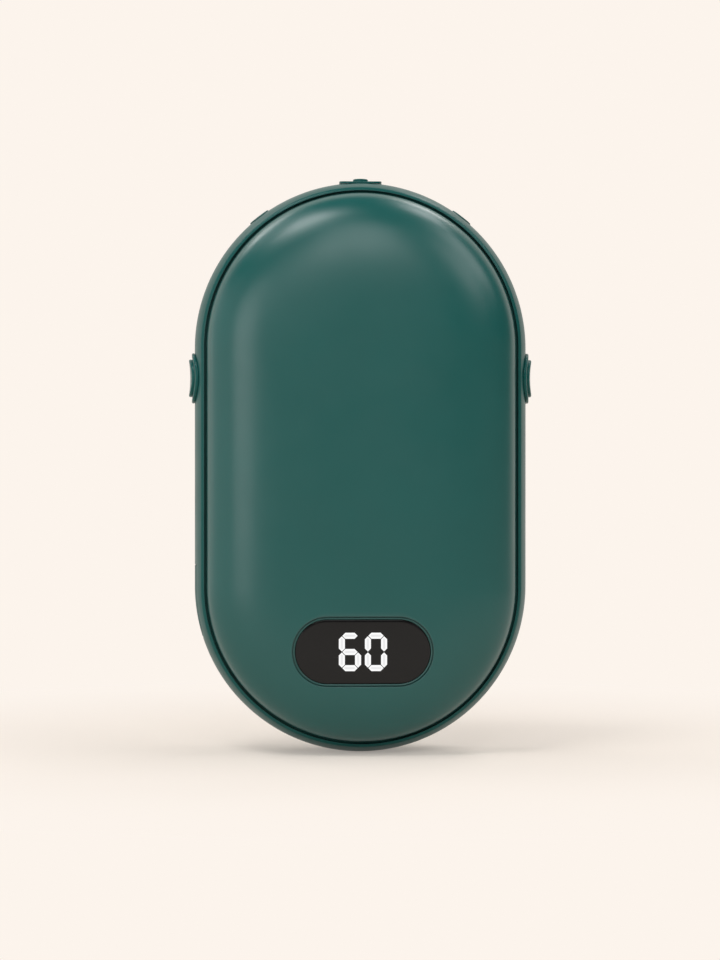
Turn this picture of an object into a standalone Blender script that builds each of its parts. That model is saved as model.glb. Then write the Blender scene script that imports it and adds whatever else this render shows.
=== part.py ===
"""Hand warmer: two domed shells on a convex band, with keys, a display, a port and the works inside.

Metres, +Z up, front face towards -Y. The origin lies under the round lower end, where it meets
the surface that the warmer stands on. Most pieces follow the stadium outline of the body, so
their places are given as an inset, measured inwards from that outline at the widest line of
the band, and a depth, measured along Y from the middle plane.
"""
import math

import bmesh
import bpy
from mathutils import Vector

# Driving dimensions
BODY_WIDTH = 0.0600
BODY_HEIGHT = 0.1030
BODY_DEPTH = 0.0280

# Gaps between neighbouring pieces
CLEARANCE = 0.0003
SNUG = 0.0001
OVERRUN = 0.0100
MERGE_DISTANCE = 0.0000010

# Facets
END_STEPS = 16
INNER_END_STEPS = 12
KEY_STEPS = 20
PIN_STEPS = 12
SMALL_END_STEPS = 8
DOME_STEPS = 8
INNER_DOME_STEPS = 4
BELT_STEPS = 4
FILLET_STEPS = 2
SMOOTH_ANGLE = math.radians(35)
POUCH_EDGE_ANGLE = math.radians(60)

# Band between the shells
BAND_DEPTH = 0.0118
BAND_CROWN_RADIUS = 0.0129
LIP_INSET = 0.0018
LIP_FILLET = 0.0005
BAND_WALL = 0.0020
REBATE_DEPTH = 0.0015
FLANGE_INSET = 0.0040
FLANGE_THICKNESS = 0.0010

# Shells, with a snap ring inside their rim
GROOVE_WIDTH = 0.0005
SHELL_WALL = 0.0015
DOME_RUN = 0.0170
DOME_SIDE_POWER = 2.6
RIM_THICKNESS = 0.0028
SNAP_WALL = 0.0008
SNAP_BEAD = 0.0004
SNAP_BEAD_HEIGHT = 0.0006
SNAP_RELIEF_MARGIN = 0.0020
SCREW_RELIEF_MARGIN = 0.0010
PORT_RELIEF_MARGIN = 0.00265
PORT_RELIEF_REACH = 0.0090

# Gaskets in the grooves
GASKET_THICKNESS = 0.0005

# Display window and lens
WINDOW_HEIGHT = 0.0189
LENS_WIDTH = 0.0239
LENS_HEIGHT = 0.0113
LENS_RECESS = 0.00012
LENS_THICKNESS = 0.0014
WINDOW_CHAMFER = 0.00035
WINDOW_COLLAR = 0.0012
WINDOW_LEDGE = 0.0010
SEAL_THICKNESS = 0.0002
SEAL_WIDTH = 0.0013
SEAL_BORDER = 0.0002
SIGHT_BORDER = 0.00195

# Display module
MODULE_WIDTH = 0.0150
MODULE_HEIGHT = 0.0100
MODULE_STANDOFF = 0.0002
MODULE_WALL = 0.0009
DIGIT_HEIGHT = 0.00694
DIGIT_WIDTH = 0.00405
DIGIT_PITCH = 0.0047
SEGMENT_WIDTH = 0.0011
SEGMENT_GAP = 0.00018
GUIDE_GAP = 0.00005
DISPLAY_BOARD_THICKNESS = 0.0009

# Side keys
SIDE_KEY_DROP = 0.0054
KEY_FACE_PROUD = 0.0011
KEY_DISH = 0.00027
KEY_FACE_RINGS = 3
KEY_RADIUS = 0.0034
KEY_EDGE_ROUND = 0.0003
SURROUND_PROUD = 0.00053
SURROUND_FLANGE = 0.0004
SURROUND_EDGE_ROUND = 0.00025
SURROUND_NECK_WALL = 0.00045
KEY_EAR_OVERHANG = 0.00045
KEY_EAR_THICKNESS = 0.0008

# Power key on top
POWER_FACE_PROUD = 0.00072
POWER_DISH = 0.00012
POWER_RADIUS = 0.001375
POWER_EDGE_ROUND = 0.00025
POWER_PLATE_LENGTH = 0.0075
POWER_PLATE_WIDTH = 0.0044
POWER_PLATE_PROUD = 0.00025
POWER_PLATE_SKIRT = 0.0009
POWER_NECK_WALL = 0.0005
POWER_EAR_OVERHANG = 0.000725

# Tact switches behind the keys
KEY_TRAVEL = 0.0005
PLUNGER_RADIUS = 0.0009
PLUNGER_LENGTH = 0.0014
SWITCH_WIDTH = 0.0042
SWITCH_DEPTH = 0.0017
SWITCH_FRONT_GAP = 0.0005
KEY_BOARD_LENGTH = 0.0100
KEY_BOARD_WIDTH = 0.0062
KEY_BOARD_THICKNESS = 0.0008

# Frame screws on the shoulders and their plugs
SHOULDER_ANGLE = math.radians(37.6)
PLUG_RADIUS = 0.00205
PLUG_PROUD = 0.00022
PLUG_EDGE_ROUND = 0.00012
PLUG_HEAD_DEPTH = 0.0006
PLUG_STEM_RADIUS = 0.00125
PLUG_STEM_LENGTH = 0.0007
SCREW_HEAD_RADIUS = 0.00145
SCREW_HEAD_HEIGHT = 0.0010
SCREW_SOCKET_RADIUS = 0.0006
SCREW_SOCKET_DEPTH = 0.0006
SCREW_RADIUS = 0.0008
FRAME_SCREW_LENGTH = 0.0058
SCREW_BOSS_RADIUS = 0.0022
FRAME_BOSS_REACH = 0.0025
CHASSIS_BOSS_LENGTH = 0.0054

# Port cover and charging socket
COVER_ABOVE_PORT = 0.0069
COVER_BELOW_PORT = 0.0058
COVER_WIDTH = 0.0060
COVER_THICKNESS = 0.0012
COVER_GAP = 0.00015
COVER_SEAT_DEPTH = 0.0015
KNUCKLE_RADIUS = 0.00052
NAIL_NOTCH_RADIUS = 0.0007
PORT_HEIGHT = 0.0264
PORT_MOUTH_SETBACK = 0.0017
SOCKET_WIDTH = 0.00894
SOCKET_THICKNESS = 0.0032
SOCKET_LENGTH = 0.00735
SOCKET_WALL = 0.0003
TONGUE_WIDTH = 0.0067
TONGUE_THICKNESS = 0.0007
TONGUE_SETBACK = 0.0009
SOCKET_BACK_LENGTH = 0.0014
PORT_BLOCK_INSET = 0.0018
PORT_BLOCK_DEPTH = 0.0022
PORT_BLOCK_MARGIN = 0.0011
PORT_SLOT_MARGIN = 0.0003
COVER_PLUG_SIDE_GAP = 0.00057
COVER_PLUG_FACE_GAP = 0.0005
COVER_PLUG_START = 0.0010
TETHER_RADIUS = 0.0006
BARB_RADIUS = 0.0011
BARB_LENGTH = 0.0008

# Chassis that carries the works
CHASSIS_INSET = 0.0056
CHASSIS_DEPTH = 0.0062
CHASSIS_FLOOR = 0.0012
CHASSIS_POCKET_SHARE = 0.6
POCKET_MARGIN = 0.0015
POCKET_HALF_WIDTH = 0.0070
WELL_WALL = 0.0020
WELL_SILL = 0.0031
WELL_SIDE_INSET = 0.0097
WELL_CORNER = 0.0030
LEAD_SLOT_WIDTH = 0.0062
LEAD_SLOT_DEPTH = 0.0030
TAIL_SLOT_WIDTH = 0.0064
TAIL_SLOT_HEIGHT = 0.0040

# Cells
CELL_EDGE_ROUND = 0.0006
CELL_TERRACE_HEIGHT = 0.0022
CELL_TERRACE_THICKNESS = 0.0008
CELL_TERRACE_MARGIN = 0.0020
CELL_PAD_THICKNESS = 0.0006
CELL_PAD_MARGIN = 0.0030
PROTECTION_BOARD_MARGIN = 0.0038
PROTECTION_BOARD_DEPTH = 0.0090
PROTECTION_BOARD_THICKNESS = 0.0008
LEAD_RADIUS = 0.0005
LEAD_SPACING = 0.0022

# Main board and what it carries
BOARD_THICKNESS = 0.0016
BOARD_INSET = 0.0055
BOARD_TOP = 0.0310
BOARD_TAB_INSET = 0.0044
BOARD_TAB_MARGIN = 0.00033
BOARD_SCREW_INSET = 0.0150
BOARD_SCREW_HEIGHT = 0.0160
BOARD_SCREW_LENGTH = 0.0048
CHARGER_CHIP_SIZE = 0.0040
CHARGER_CHIP_HEIGHT = 0.0009
CHARGER_CHIP_LEVEL = 0.0265
CHARGER_CHIP_ACROSS_SHARE = -0.467
CONTROL_CHIP_SIZE = 0.0070
CONTROL_CHIP_HEIGHT = 0.0014
CONTROL_CHIP_LEVEL = 0.0190
CONTROL_CHIP_ACROSS_SHARE = 0.100
INDUCTOR_SIZE = 0.0060
INDUCTOR_HEIGHT = 0.0028
INDUCTOR_CORNER = 0.0010
INDUCTOR_LEVEL = 0.0225
INDUCTOR_ACROSS_SHARE = -0.217
BATTERY_SOCKET_WIDTH = 0.0060
BATTERY_SOCKET_HEIGHT = 0.0040
BATTERY_SOCKET_DEPTH = 0.0028
BATTERY_SOCKET_LEVEL = 0.0268
BATTERY_SOCKET_ACROSS_SHARE = 0.373
BATTERY_SOCKET_WALL = 0.0006
BATTERY_SOCKET_MOUTH = 0.0024

# Heat stack behind each shell
SPREADER_THICKNESS = 0.0004
SPREADER_INSET = 0.0085
SPREADER_GAP = 0.0002
SPREADER_STEPS = 3
SPREADER_MARGIN = 0.00145
FILM_THICKNESS = 0.0002
FILM_INSET = 0.0160
FILM_MARGIN = 0.0013
FOAM_INSET = 0.0145
FOAM_THICKNESS = 0.0025
FOAM_MARGIN = 0.0021
THERMISTOR_RADIUS = 0.0006
THERMISTOR_LENGTH = 0.0026
THERMISTOR_ACROSS = 0.0090
THERMISTOR_RISE = 0.0029
TAIL_WIDTH = 0.0050
TAIL_THICKNESS = 0.0002
TAIL_STEPS = 3

# Key leads
KEY_LEAD_WIDTH = 0.0020
KEY_LEAD_THICKNESS = 0.0002
KEY_LEAD_INSET = 0.0051
POWER_LEAD_RADIUS = 0.0006
POWER_LEAD_STEPS = 2
POWER_LEAD_ARC_SHARES = (0.14, 0.40, 0.70, 1.0)

# Sizes that follow from those above
END_RADIUS = BODY_WIDTH / 2
SIDE_LENGTH = BODY_HEIGHT - BODY_WIDTH
MIDDLE_HEIGHT = BODY_HEIGHT / 2
TOP_CENTRE = BODY_HEIGHT - END_RADIUS
BAND_EDGE = BAND_DEPTH / 2
SHELF_DEPTH = BAND_EDGE - REBATE_DEPTH
FLANGE_INNER_DEPTH = SHELF_DEPTH - FLANGE_THICKNESS
GASKET_OUTER_DEPTH = SHELF_DEPTH + SNUG + GASKET_THICKNESS
SHELL_INSET = LIP_INSET + GROOVE_WIDTH
SKIRT_END = GASKET_OUTER_DEPTH + SNUG
SHELL_FACE = BODY_DEPTH / 2
SHELL_BACK = SHELL_FACE - SHELL_WALL
DOME_END = SHELL_INSET + DOME_RUN
RIM_INSET = SHELL_INSET + RIM_THICKNESS
INNER_DOME_BASE = BAND_EDGE + SNAP_BEAD_HEIGHT
SNAP_END = FLANGE_INNER_DEPTH - CLEARANCE - SNAP_BEAD_HEIGHT
LENS_BACK_DEPTH = SHELL_FACE - LENS_THICKNESS
WINDOW_FLOOR = LENS_BACK_DEPTH - SEAL_THICKNESS - 2 * SNUG
WINDOW_BACK = WINDOW_FLOOR - WINDOW_LEDGE
MODULE_FRONT = WINDOW_BACK - CLEARANCE
BOARD_REAR = SOCKET_THICKNESS / 2 + CLEARANCE
BOARD_FRONT = BOARD_REAR + BOARD_THICKNESS
MODULE_BACK = BOARD_FRONT + MODULE_STANDOFF + DISPLAY_BOARD_THICKNESS + SNUG
MODULE_DEPTH = MODULE_FRONT - MODULE_BACK
BOARD_TAB_HEIGHT = SOCKET_WIDTH + 2 * BOARD_TAB_MARGIN
BOARD_SCREW_SPREAD = END_RADIUS - BOARD_SCREW_INSET
CHARGER_CHIP_PLACE = (CHARGER_CHIP_ACROSS_SHARE * END_RADIUS, CHARGER_CHIP_LEVEL)
CONTROL_CHIP_PLACE = (CONTROL_CHIP_ACROSS_SHARE * END_RADIUS, CONTROL_CHIP_LEVEL)
INDUCTOR_PLACE = (INDUCTOR_ACROSS_SHARE * END_RADIUS, INDUCTOR_LEVEL)
BATTERY_SOCKET_PLACE = (BATTERY_SOCKET_ACROSS_SHARE * END_RADIUS, BATTERY_SOCKET_LEVEL)
SIDE_KEY_HEIGHT = TOP_CENTRE - SIDE_KEY_DROP
KEY_BORE_RADIUS = KEY_RADIUS + CLEARANCE
KEY_NECK_RADIUS = KEY_BORE_RADIUS + SURROUND_NECK_WALL
SURROUND_RADIUS = KEY_NECK_RADIUS + SURROUND_FLANGE
KEY_EAR_REACH = KEY_NECK_RADIUS + KEY_EAR_OVERHANG
POWER_BORE_RADIUS = POWER_RADIUS + CLEARANCE
POWER_NECK_RADIUS = POWER_BORE_RADIUS + POWER_NECK_WALL
POWER_EAR_REACH = POWER_NECK_RADIUS + POWER_EAR_OVERHANG
EAR_TOP = BAND_WALL + CLEARANCE
EAR_END = EAR_TOP + KEY_EAR_THICKNESS
PLUNGER_TOP = EAR_END + CLEARANCE
SWITCH_TOP = PLUNGER_TOP + KEY_TRAVEL + SWITCH_FRONT_GAP
SWITCH_END = SWITCH_TOP + SWITCH_DEPTH
KEY_BOARD_TOP = SWITCH_END + CLEARANCE
KEY_BOARD_END = KEY_BOARD_TOP + KEY_BOARD_THICKNESS
KEY_EAR_WIDTH = 2 * (FLANGE_INNER_DEPTH - CLEARANCE)
SNAP_RELIEF_WIDTH = KEY_BOARD_LENGTH + 2 * SNAP_RELIEF_MARGIN
SCREW_RELIEF_WIDTH = 2 * SCREW_BOSS_RADIUS + 2 * SCREW_RELIEF_MARGIN
PORT_RELIEF_HEIGHT = COVER_ABOVE_PORT + COVER_BELOW_PORT + 2 * PORT_RELIEF_MARGIN
SCREW_SEAT = PLUG_HEAD_DEPTH + PLUG_STEM_LENGTH + SCREW_HEAD_HEIGHT + 2 * CLEARANCE
CHASSIS_EDGE = CHASSIS_DEPTH / 2
CHASSIS_FLOOR_FRONT = CHASSIS_EDGE - CHASSIS_FLOOR
WELL_WIDTH = BODY_WIDTH - 2 * WELL_SIDE_INSET
WELL_BOTTOM = BOARD_TOP + WELL_SILL
WELL_CORNER_REACH = END_RADIUS - CHASSIS_INSET - WELL_WALL - WELL_CORNER
WELL_CORNER_RISE = math.sqrt(WELL_CORNER_REACH ** 2 - (WELL_WIDTH / 2 - WELL_CORNER) ** 2)
WELL_TOP = TOP_CENTRE + WELL_CORNER + WELL_CORNER_RISE
FILM_FRONT = SHELL_BACK - SPREADER_GAP - SPREADER_THICKNESS - SPREADER_GAP
FILM_BACK = FILM_FRONT - FILM_THICKNESS
CELL_INNER = CELL_PAD_THICKNESS / 2 + CLEARANCE
CELL_OUTER = FILM_BACK - 2 * CLEARANCE - FOAM_THICKNESS
CELL_THICKNESS = CELL_OUTER - CELL_INNER
PROTECTION_BOARD_BOTTOM = WELL_BOTTOM + CLEARANCE
TERRACE_BOTTOM = PROTECTION_BOARD_BOTTOM + PROTECTION_BOARD_THICKNESS + CLEARANCE
CELL_BOTTOM = TERRACE_BOTTOM + CELL_TERRACE_HEIGHT
CELL_TOP = WELL_TOP - CLEARANCE
CELL_WIDTH = WELL_WIDTH - 2 * CLEARANCE
CELL_TERRACE_WIDTH = CELL_WIDTH - 2 * CELL_TERRACE_MARGIN
PROTECTION_BOARD_WIDTH = WELL_WIDTH - 2 * PROTECTION_BOARD_MARGIN
FRONT_SPREADER_BOTTOM = WINDOW_HEIGHT + LENS_HEIGHT / 2 + WINDOW_COLLAR + SPREADER_MARGIN
FILM_BOTTOM = FRONT_SPREADER_BOTTOM + FILM_MARGIN
THERMISTOR_HEIGHT = FILM_BOTTOM + THERMISTOR_RISE
FOAM_BOTTOM = THERMISTOR_HEIGHT + THERMISTOR_LENGTH / 2 + FOAM_MARGIN
PORT_DROP = max(0, END_RADIUS - PORT_HEIGHT + SOCKET_WIDTH / 2)
PORT_MOUTH = -math.sqrt(END_RADIUS ** 2 - PORT_DROP ** 2) + PORT_MOUTH_SETBACK
COVER_TOP = PORT_HEIGHT + COVER_ABOVE_PORT
COVER_BOTTOM = PORT_HEIGHT - COVER_BELOW_PORT
COVER_PLUG_WIDTH = SOCKET_WIDTH - 2 * SOCKET_WALL - 2 * COVER_PLUG_SIDE_GAP
COVER_PLUG_THICKNESS = SOCKET_THICKNESS - 2 * SOCKET_WALL - 2 * COVER_PLUG_FACE_GAP
COVER_PLUG_ENTRY = TONGUE_SETBACK - CLEARANCE
HINGE_INSET = COVER_THICKNESS / 2
HINGE_PLACE = (-END_RADIUS + HINGE_INSET, 0, COVER_TOP)

FRONT = -1
REAR = 1
LEFT = -1
RIGHT = 1


# Scene, collections and materials

for stale in list(bpy.data.objects):
    bpy.data.objects.remove(stale, do_unlink=True)

parts = bpy.data.collections.new("hand_warmer")
cutters = bpy.data.collections.new("cutters")
for collection in (parts, cutters):
    bpy.context.scene.collection.children.link(collection)


def make_material(name, colour, roughness, metallic=0.0):
    """A Principled material with one colour, roughness and metallic value."""
    material = bpy.data.materials.new(name)
    material.use_nodes = True
    shader = material.node_tree.nodes["Principled BSDF"]
    shader.inputs["Base Color"].default_value = (*colour, 1.0)
    shader.inputs["Roughness"].default_value = roughness
    shader.inputs["Metallic"].default_value = metallic
    material.diffuse_color = (*colour, 1.0)
    return material


SATIN_GREEN = make_material("satin_green", (0.028, 0.100, 0.092), 0.42)
BAND_GREEN = make_material("band_green", (0.022, 0.084, 0.076), 0.38)
KEY_GREEN = make_material("key_green", (0.020, 0.080, 0.072), 0.45)
SOFT_GREEN = make_material("soft_green", (0.020, 0.070, 0.064), 0.70)
GASKET_BLACK = make_material("gasket_black", (0.006, 0.007, 0.007), 0.80)
SMOKED_LENS = make_material("smoked_lens", (0.010, 0.011, 0.012), 0.08)
ADHESIVE_BLACK = make_material("adhesive_black", (0.012, 0.012, 0.012), 0.60)
REFLECTOR_BLACK = make_material("reflector_black", (0.010, 0.010, 0.011), 0.70)
GUIDE_WHITE = make_material("guide_white", (0.850, 0.860, 0.870), 0.40)
BOARD_GREEN = make_material("board_green", (0.020, 0.160, 0.060), 0.45)
CHIP_BLACK = make_material("chip_black", (0.015, 0.015, 0.016), 0.50)
FERRITE_GREY = make_material("ferrite_grey", (0.090, 0.090, 0.095), 0.60)
CONNECTOR_WHITE = make_material("connector_white", (0.780, 0.770, 0.720), 0.50)
SOCKET_STEEL = make_material("socket_steel", (0.560, 0.570, 0.580), 0.30, 1.0)
SCREW_STEEL = make_material("screw_steel", (0.450, 0.455, 0.460), 0.35, 1.0)
CHASSIS_GREY = make_material("chassis_grey", (0.060, 0.064, 0.066), 0.60)
CELL_SILVER = make_material("cell_silver", (0.600, 0.610, 0.620), 0.35, 1.0)
PAD_GREY = make_material("pad_grey", (0.120, 0.120, 0.125), 0.90)
SPREADER_ALUMINIUM = make_material("spreader_aluminium", (0.720, 0.730, 0.740), 0.30, 1.0)
FILM_AMBER = make_material("film_amber", (0.520, 0.200, 0.030), 0.35)
FOAM_WHITE = make_material("foam_white", (0.700, 0.690, 0.660), 0.95)
BEAD_BROWN = make_material("bead_brown", (0.160, 0.070, 0.030), 0.30)
LEAD_RED = make_material("lead_red", (0.500, 0.020, 0.015), 0.45)
LEAD_BLACK = make_material("lead_black", (0.015, 0.015, 0.015), 0.45)
LEAD_GREY = make_material("lead_grey", (0.180, 0.180, 0.190), 0.50)


# Modelling helpers

def add_part(name, mesh, material, location=(0, 0, 0), rotation=(0, 0, 0)):
    """A visible piece, one node of the model."""
    part = bpy.data.objects.new(name, mesh)
    part.location = location
    part.rotation_euler = rotation
    mesh.materials.clear()
    mesh.materials.append(material)
    parts.objects.link(part)
    return part


def add_cutter(name, mesh, location=(0, 0, 0), rotation=(0, 0, 0)):
    """A hidden shape that other pieces are cut by, kept to or joined with."""
    cutter = bpy.data.objects.new(name, mesh)
    cutter.location = location
    cutter.rotation_euler = rotation
    cutter.hide_render = True
    cutter.display_type = "WIRE"
    cutters.objects.link(cutter)
    return cutter


def combine(part, operation, *others):
    """Adds one exact Boolean modifier for each other shape."""
    for other in others:
        modifier = part.modifiers.new(other.name, "BOOLEAN")
        modifier.operation = operation
        modifier.solver = "EXACT"
        modifier.object = other


def mesh_from(name, form):
    """Closes a bmesh off as a mesh with outward faces and smooth round sides."""
    bmesh.ops.recalc_face_normals(form, faces=form.faces)
    mesh = bpy.data.meshes.new(name)
    form.to_mesh(mesh)
    form.free()
    mesh.shade_smooth()
    mesh.set_sharp_from_angle(angle=SMOOTH_ANGLE)
    return mesh


def swept_mesh(name, profile, radius=END_RADIUS, length=SIDE_LENGTH, steps=END_STEPS, closed=True):
    """Draws a profile round a stadium that stands along Z and is centred on its origin.

    The profile is a list of (inset, depth) points. It is spun half round each end and drawn
    along both sides. The two end loops of an open profile are filled flat.
    """
    form = bmesh.new()
    corners = [form.verts.new((radius - inset, depth, length / 2)) for inset, depth in profile]
    edges = [form.edges.new(pair) for pair in zip(corners, corners[1:])]
    if closed:
        edges.append(form.edges.new((corners[-1], corners[0])))
    section = corners + edges
    for end in (1, -1):
        spun = bmesh.ops.spin(
            form, geom=section, cent=(0, 0, end * length / 2), axis=(0, -1, 0),
            dvec=(0, 0, 0), angle=math.pi, steps=steps, use_merge=False,
            use_normal_flip=False, use_duplicate=False,
        )
        last = [item for item in spun["geom_last"] if isinstance(item, bmesh.types.BMEdge)]
        drawn = bmesh.ops.extrude_edge_only(form, edges=last)["geom"]
        moved = [item for item in drawn if isinstance(item, bmesh.types.BMVert)]
        bmesh.ops.translate(form, verts=moved, vec=(0, 0, -end * length))
        section = moved + [item for item in drawn if isinstance(item, bmesh.types.BMEdge)]
    bmesh.ops.remove_doubles(form, verts=form.verts, dist=MERGE_DISTANCE)
    rims = [edge for edge in form.edges if edge.is_boundary]
    if rims:
        bmesh.ops.holes_fill(form, edges=rims, sides=0)
    return mesh_from(name, form)


def block_mesh(name, across, deep, high):
    """A box centred on its origin, with its sizes along X, Y and Z."""
    form = bmesh.new()
    bmesh.ops.create_cube(form, size=1)
    bmesh.ops.scale(form, vec=(across, deep, high), verts=form.verts)
    return mesh_from(name, form)


def rod_mesh(name, radius, near, far, steps=PIN_STEPS):
    """A cylinder along Z between two places on that axis."""
    form = bmesh.new()
    bmesh.ops.create_cone(
        form, cap_ends=True, segments=steps, radius1=radius, radius2=radius, depth=far - near
    )
    bmesh.ops.translate(form, verts=form.verts, vec=(0, 0, (near + far) / 2))
    return mesh_from(name, form)


def turned_part(name, profile, material, location, rotation, steps):
    """A piece turned about its own Z axis from (radius, height) points, top to bottom."""
    form = bmesh.new()
    corners = [form.verts.new((radius, 0, height)) for radius, height in profile]
    for pair in zip(corners, corners[1:]):
        form.edges.new(pair)
    mesh = bpy.data.meshes.new(name)
    form.to_mesh(mesh)
    form.free()
    part = add_part(name, mesh, material, location, rotation)
    turn = part.modifiers.new("turn", "SCREW")
    turn.axis = "Z"
    turn.steps = steps
    turn.render_steps = steps
    turn.use_merge_vertices = True
    turn.merge_threshold = MERGE_DISTANCE
    turn.use_smooth_shade = True
    return part


def sheet_mesh(name, outlines, thickness):
    """A flat sheet in the XY plane, centred on it, from one or more closed outlines."""
    curve = bpy.data.curves.new(name, "CURVE")
    curve.dimensions = "2D"
    curve.fill_mode = "BOTH"
    curve.extrude = thickness / 2
    for outline in outlines:
        spline = curve.splines.new("POLY")
        spline.points.add(len(outline) - 1)
        for point, (across, up) in zip(spline.points, outline):
            point.co = (across, up, 0, 1)
        spline.use_cyclic_u = True
    guide = bpy.data.objects.new(name, curve)
    cutters.objects.link(guide)
    return mesh_of_guide(name, guide)


def tube_mesh(name, points, radius):
    """A round lead along a list of points, with filled ends."""
    curve = bpy.data.curves.new(name, "CURVE")
    curve.dimensions = "3D"
    curve.bevel_depth = radius
    curve.bevel_resolution = 2
    curve.use_fill_caps = True
    spline = curve.splines.new("POLY")
    spline.points.add(len(points) - 1)
    for point, place in zip(spline.points, points):
        point.co = (*place, 1)
    guide = bpy.data.objects.new(name, curve)
    cutters.objects.link(guide)
    return mesh_of_guide(name, guide)


def mesh_of_guide(name, guide):
    """Turns a curve object into a welded mesh and removes the curve."""
    bpy.context.view_layer.update()
    depsgraph = bpy.context.evaluated_depsgraph_get()
    mesh = bpy.data.meshes.new_from_object(guide.evaluated_get(depsgraph))
    curve = guide.data
    bpy.data.objects.remove(guide)
    bpy.data.curves.remove(curve)
    form = bmesh.new()
    form.from_mesh(mesh)
    bpy.data.meshes.remove(mesh)
    bmesh.ops.remove_doubles(form, verts=form.verts, dist=MERGE_DISTANCE)
    return mesh_from(name, form)


def ribbon_mesh(name, path, width, thickness, steps):
    """A flat ribbon, width along X, whose middle line is a smooth (depth, height) path."""
    smooth = smooth_path([Vector((0, *point)) for point in path], steps)
    form = bmesh.new()
    line = [form.verts.new(point) for point in smooth]
    edges = [form.edges.new(pair) for pair in zip(line, line[1:])]
    bmesh.ops.translate(form, verts=line, vec=(-width / 2, 0, 0))
    drawn = bmesh.ops.extrude_edge_only(form, edges=edges)["geom"]
    moved = [item for item in drawn if isinstance(item, bmesh.types.BMVert)]
    bmesh.ops.translate(form, verts=moved, vec=(width, 0, 0))
    bmesh.ops.solidify(form, geom=form.faces[:], thickness=thickness)
    return mesh_from(name, form)


def smooth_path(points, steps):
    """Points along a smooth curve that runs through the given ones."""
    ends = [2 * points[0] - points[1], *points, 2 * points[-1] - points[-2]]
    path = []
    for before, start, finish, after in zip(ends, ends[1:], ends[2:], ends[3:]):
        for step in range(steps):
            share = step / steps
            path.append(
                (2 * start
                 + (finish - before) * share
                 + (2 * before - 5 * start + 4 * finish - after) * share ** 2
                 + (3 * start - before - 3 * finish + after) * share ** 3) / 2
            )
    path.append(points[-1])
    return path


def rounded_outline(width, height, corner, steps=SMALL_END_STEPS // 2):
    """The corners of a rectangle with rounded corners, centred on its origin."""
    outline = []
    for quarter, (side, level) in enumerate(((1, 1), (-1, 1), (-1, -1), (1, -1))):
        for step in range(steps + 1):
            angle = (quarter + step / steps) * math.pi / 2
            outline.append((
                side * (width / 2 - corner) + corner * math.cos(angle),
                level * (height / 2 - corner) + corner * math.sin(angle),
            ))
    return outline


def station(angle, height=TOP_CENTRE):
    """Place and turn of a piece whose Z axis points out of the outline at an angle from upright."""
    place = (END_RADIUS * math.sin(angle), 0, height + END_RADIUS * math.cos(angle))
    return place, (0, angle, 0)


FACING_Y = (math.pi / 2, 0, 0)
FACING_X = (math.pi / 2, 0, math.pi / 2)
LYING_ALONG_X = (0, math.pi / 2, 0)
SIDE_ANGLE = math.pi / 2
BODY_MIDDLE = (0, 0, MIDDLE_HEIGHT)


# Outlines of the band and the shells

def belt_inset(depth):
    """How far the crowned outer face of the band has fallen in at a depth."""
    return BAND_CROWN_RADIUS - math.sqrt(BAND_CROWN_RADIUS ** 2 - depth ** 2)


def belt_points(half_width, raised=0.0):
    """Points across the crowned outer face, front to rear."""
    depths = [half_width * (2 * step / BELT_STEPS - 1) for step in range(BELT_STEPS + 1)]
    return [(belt_inset(depth) - raised, depth) for depth in depths]


def lip_points():
    """The rounded front lip of the band, from its flat edge to the crowned face."""
    centre_depth = BAND_EDGE - LIP_FILLET
    reach = BAND_CROWN_RADIUS - LIP_FILLET
    centre_inset = BAND_CROWN_RADIUS - math.sqrt(reach ** 2 - centre_depth ** 2)
    sweep = math.asin(centre_depth / reach)
    points = []
    for step in range(FILLET_STEPS + 1):
        angle = math.pi / 2 + (sweep - math.pi / 2) * step / FILLET_STEPS
        points.append((
            centre_inset - LIP_FILLET * math.cos(angle),
            -centre_depth - LIP_FILLET * math.sin(angle),
        ))
    return points


def dome_depth(inset, edge_inset, base, crown):
    """Depth of a dome that starts upright at its edge and is flat from DOME_END inwards."""
    share = max(0.0, (DOME_END - inset) / (DOME_END - edge_inset))
    return base + (crown - base) * math.sqrt(1 - share ** DOME_SIDE_POWER)


def dome_points(edge_inset, base, crown, steps=DOME_STEPS):
    """Points from the flat middle of a dome out to its edge, close together near the edge."""
    points = []
    for step in range(steps + 1):
        angle = (1 - step / steps) * math.pi / 2
        share = math.cos(angle) ** (2 / DOME_SIDE_POWER)
        inset = DOME_END - (DOME_END - edge_inset) * share
        points.append((inset, base + (crown - base) * math.sin(angle)))
    return points


def turned_to(side, points):
    """The same profile for the front or the rear of the body."""
    return [(inset, side * depth) for inset, depth in points]


# Band

def band_profile():
    """Section of the band: crowned face, lips, rebates for the shells and a channel inside."""
    front = lip_points()
    crowned = belt_points(-front[-1][1])
    outer = [(LIP_INSET, -BAND_EDGE)] + front + crowned[1:-1]
    outer += [(inset, -depth) for inset, depth in reversed(front)]
    inner = [
        (LIP_INSET, SHELF_DEPTH),
        (FLANGE_INSET, SHELF_DEPTH),
        (FLANGE_INSET, FLANGE_INNER_DEPTH),
        (BAND_WALL, FLANGE_INNER_DEPTH),
    ]
    return outer + [(LIP_INSET, BAND_EDGE)] + inner + [(i, -d) for i, d in reversed(inner)]


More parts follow.
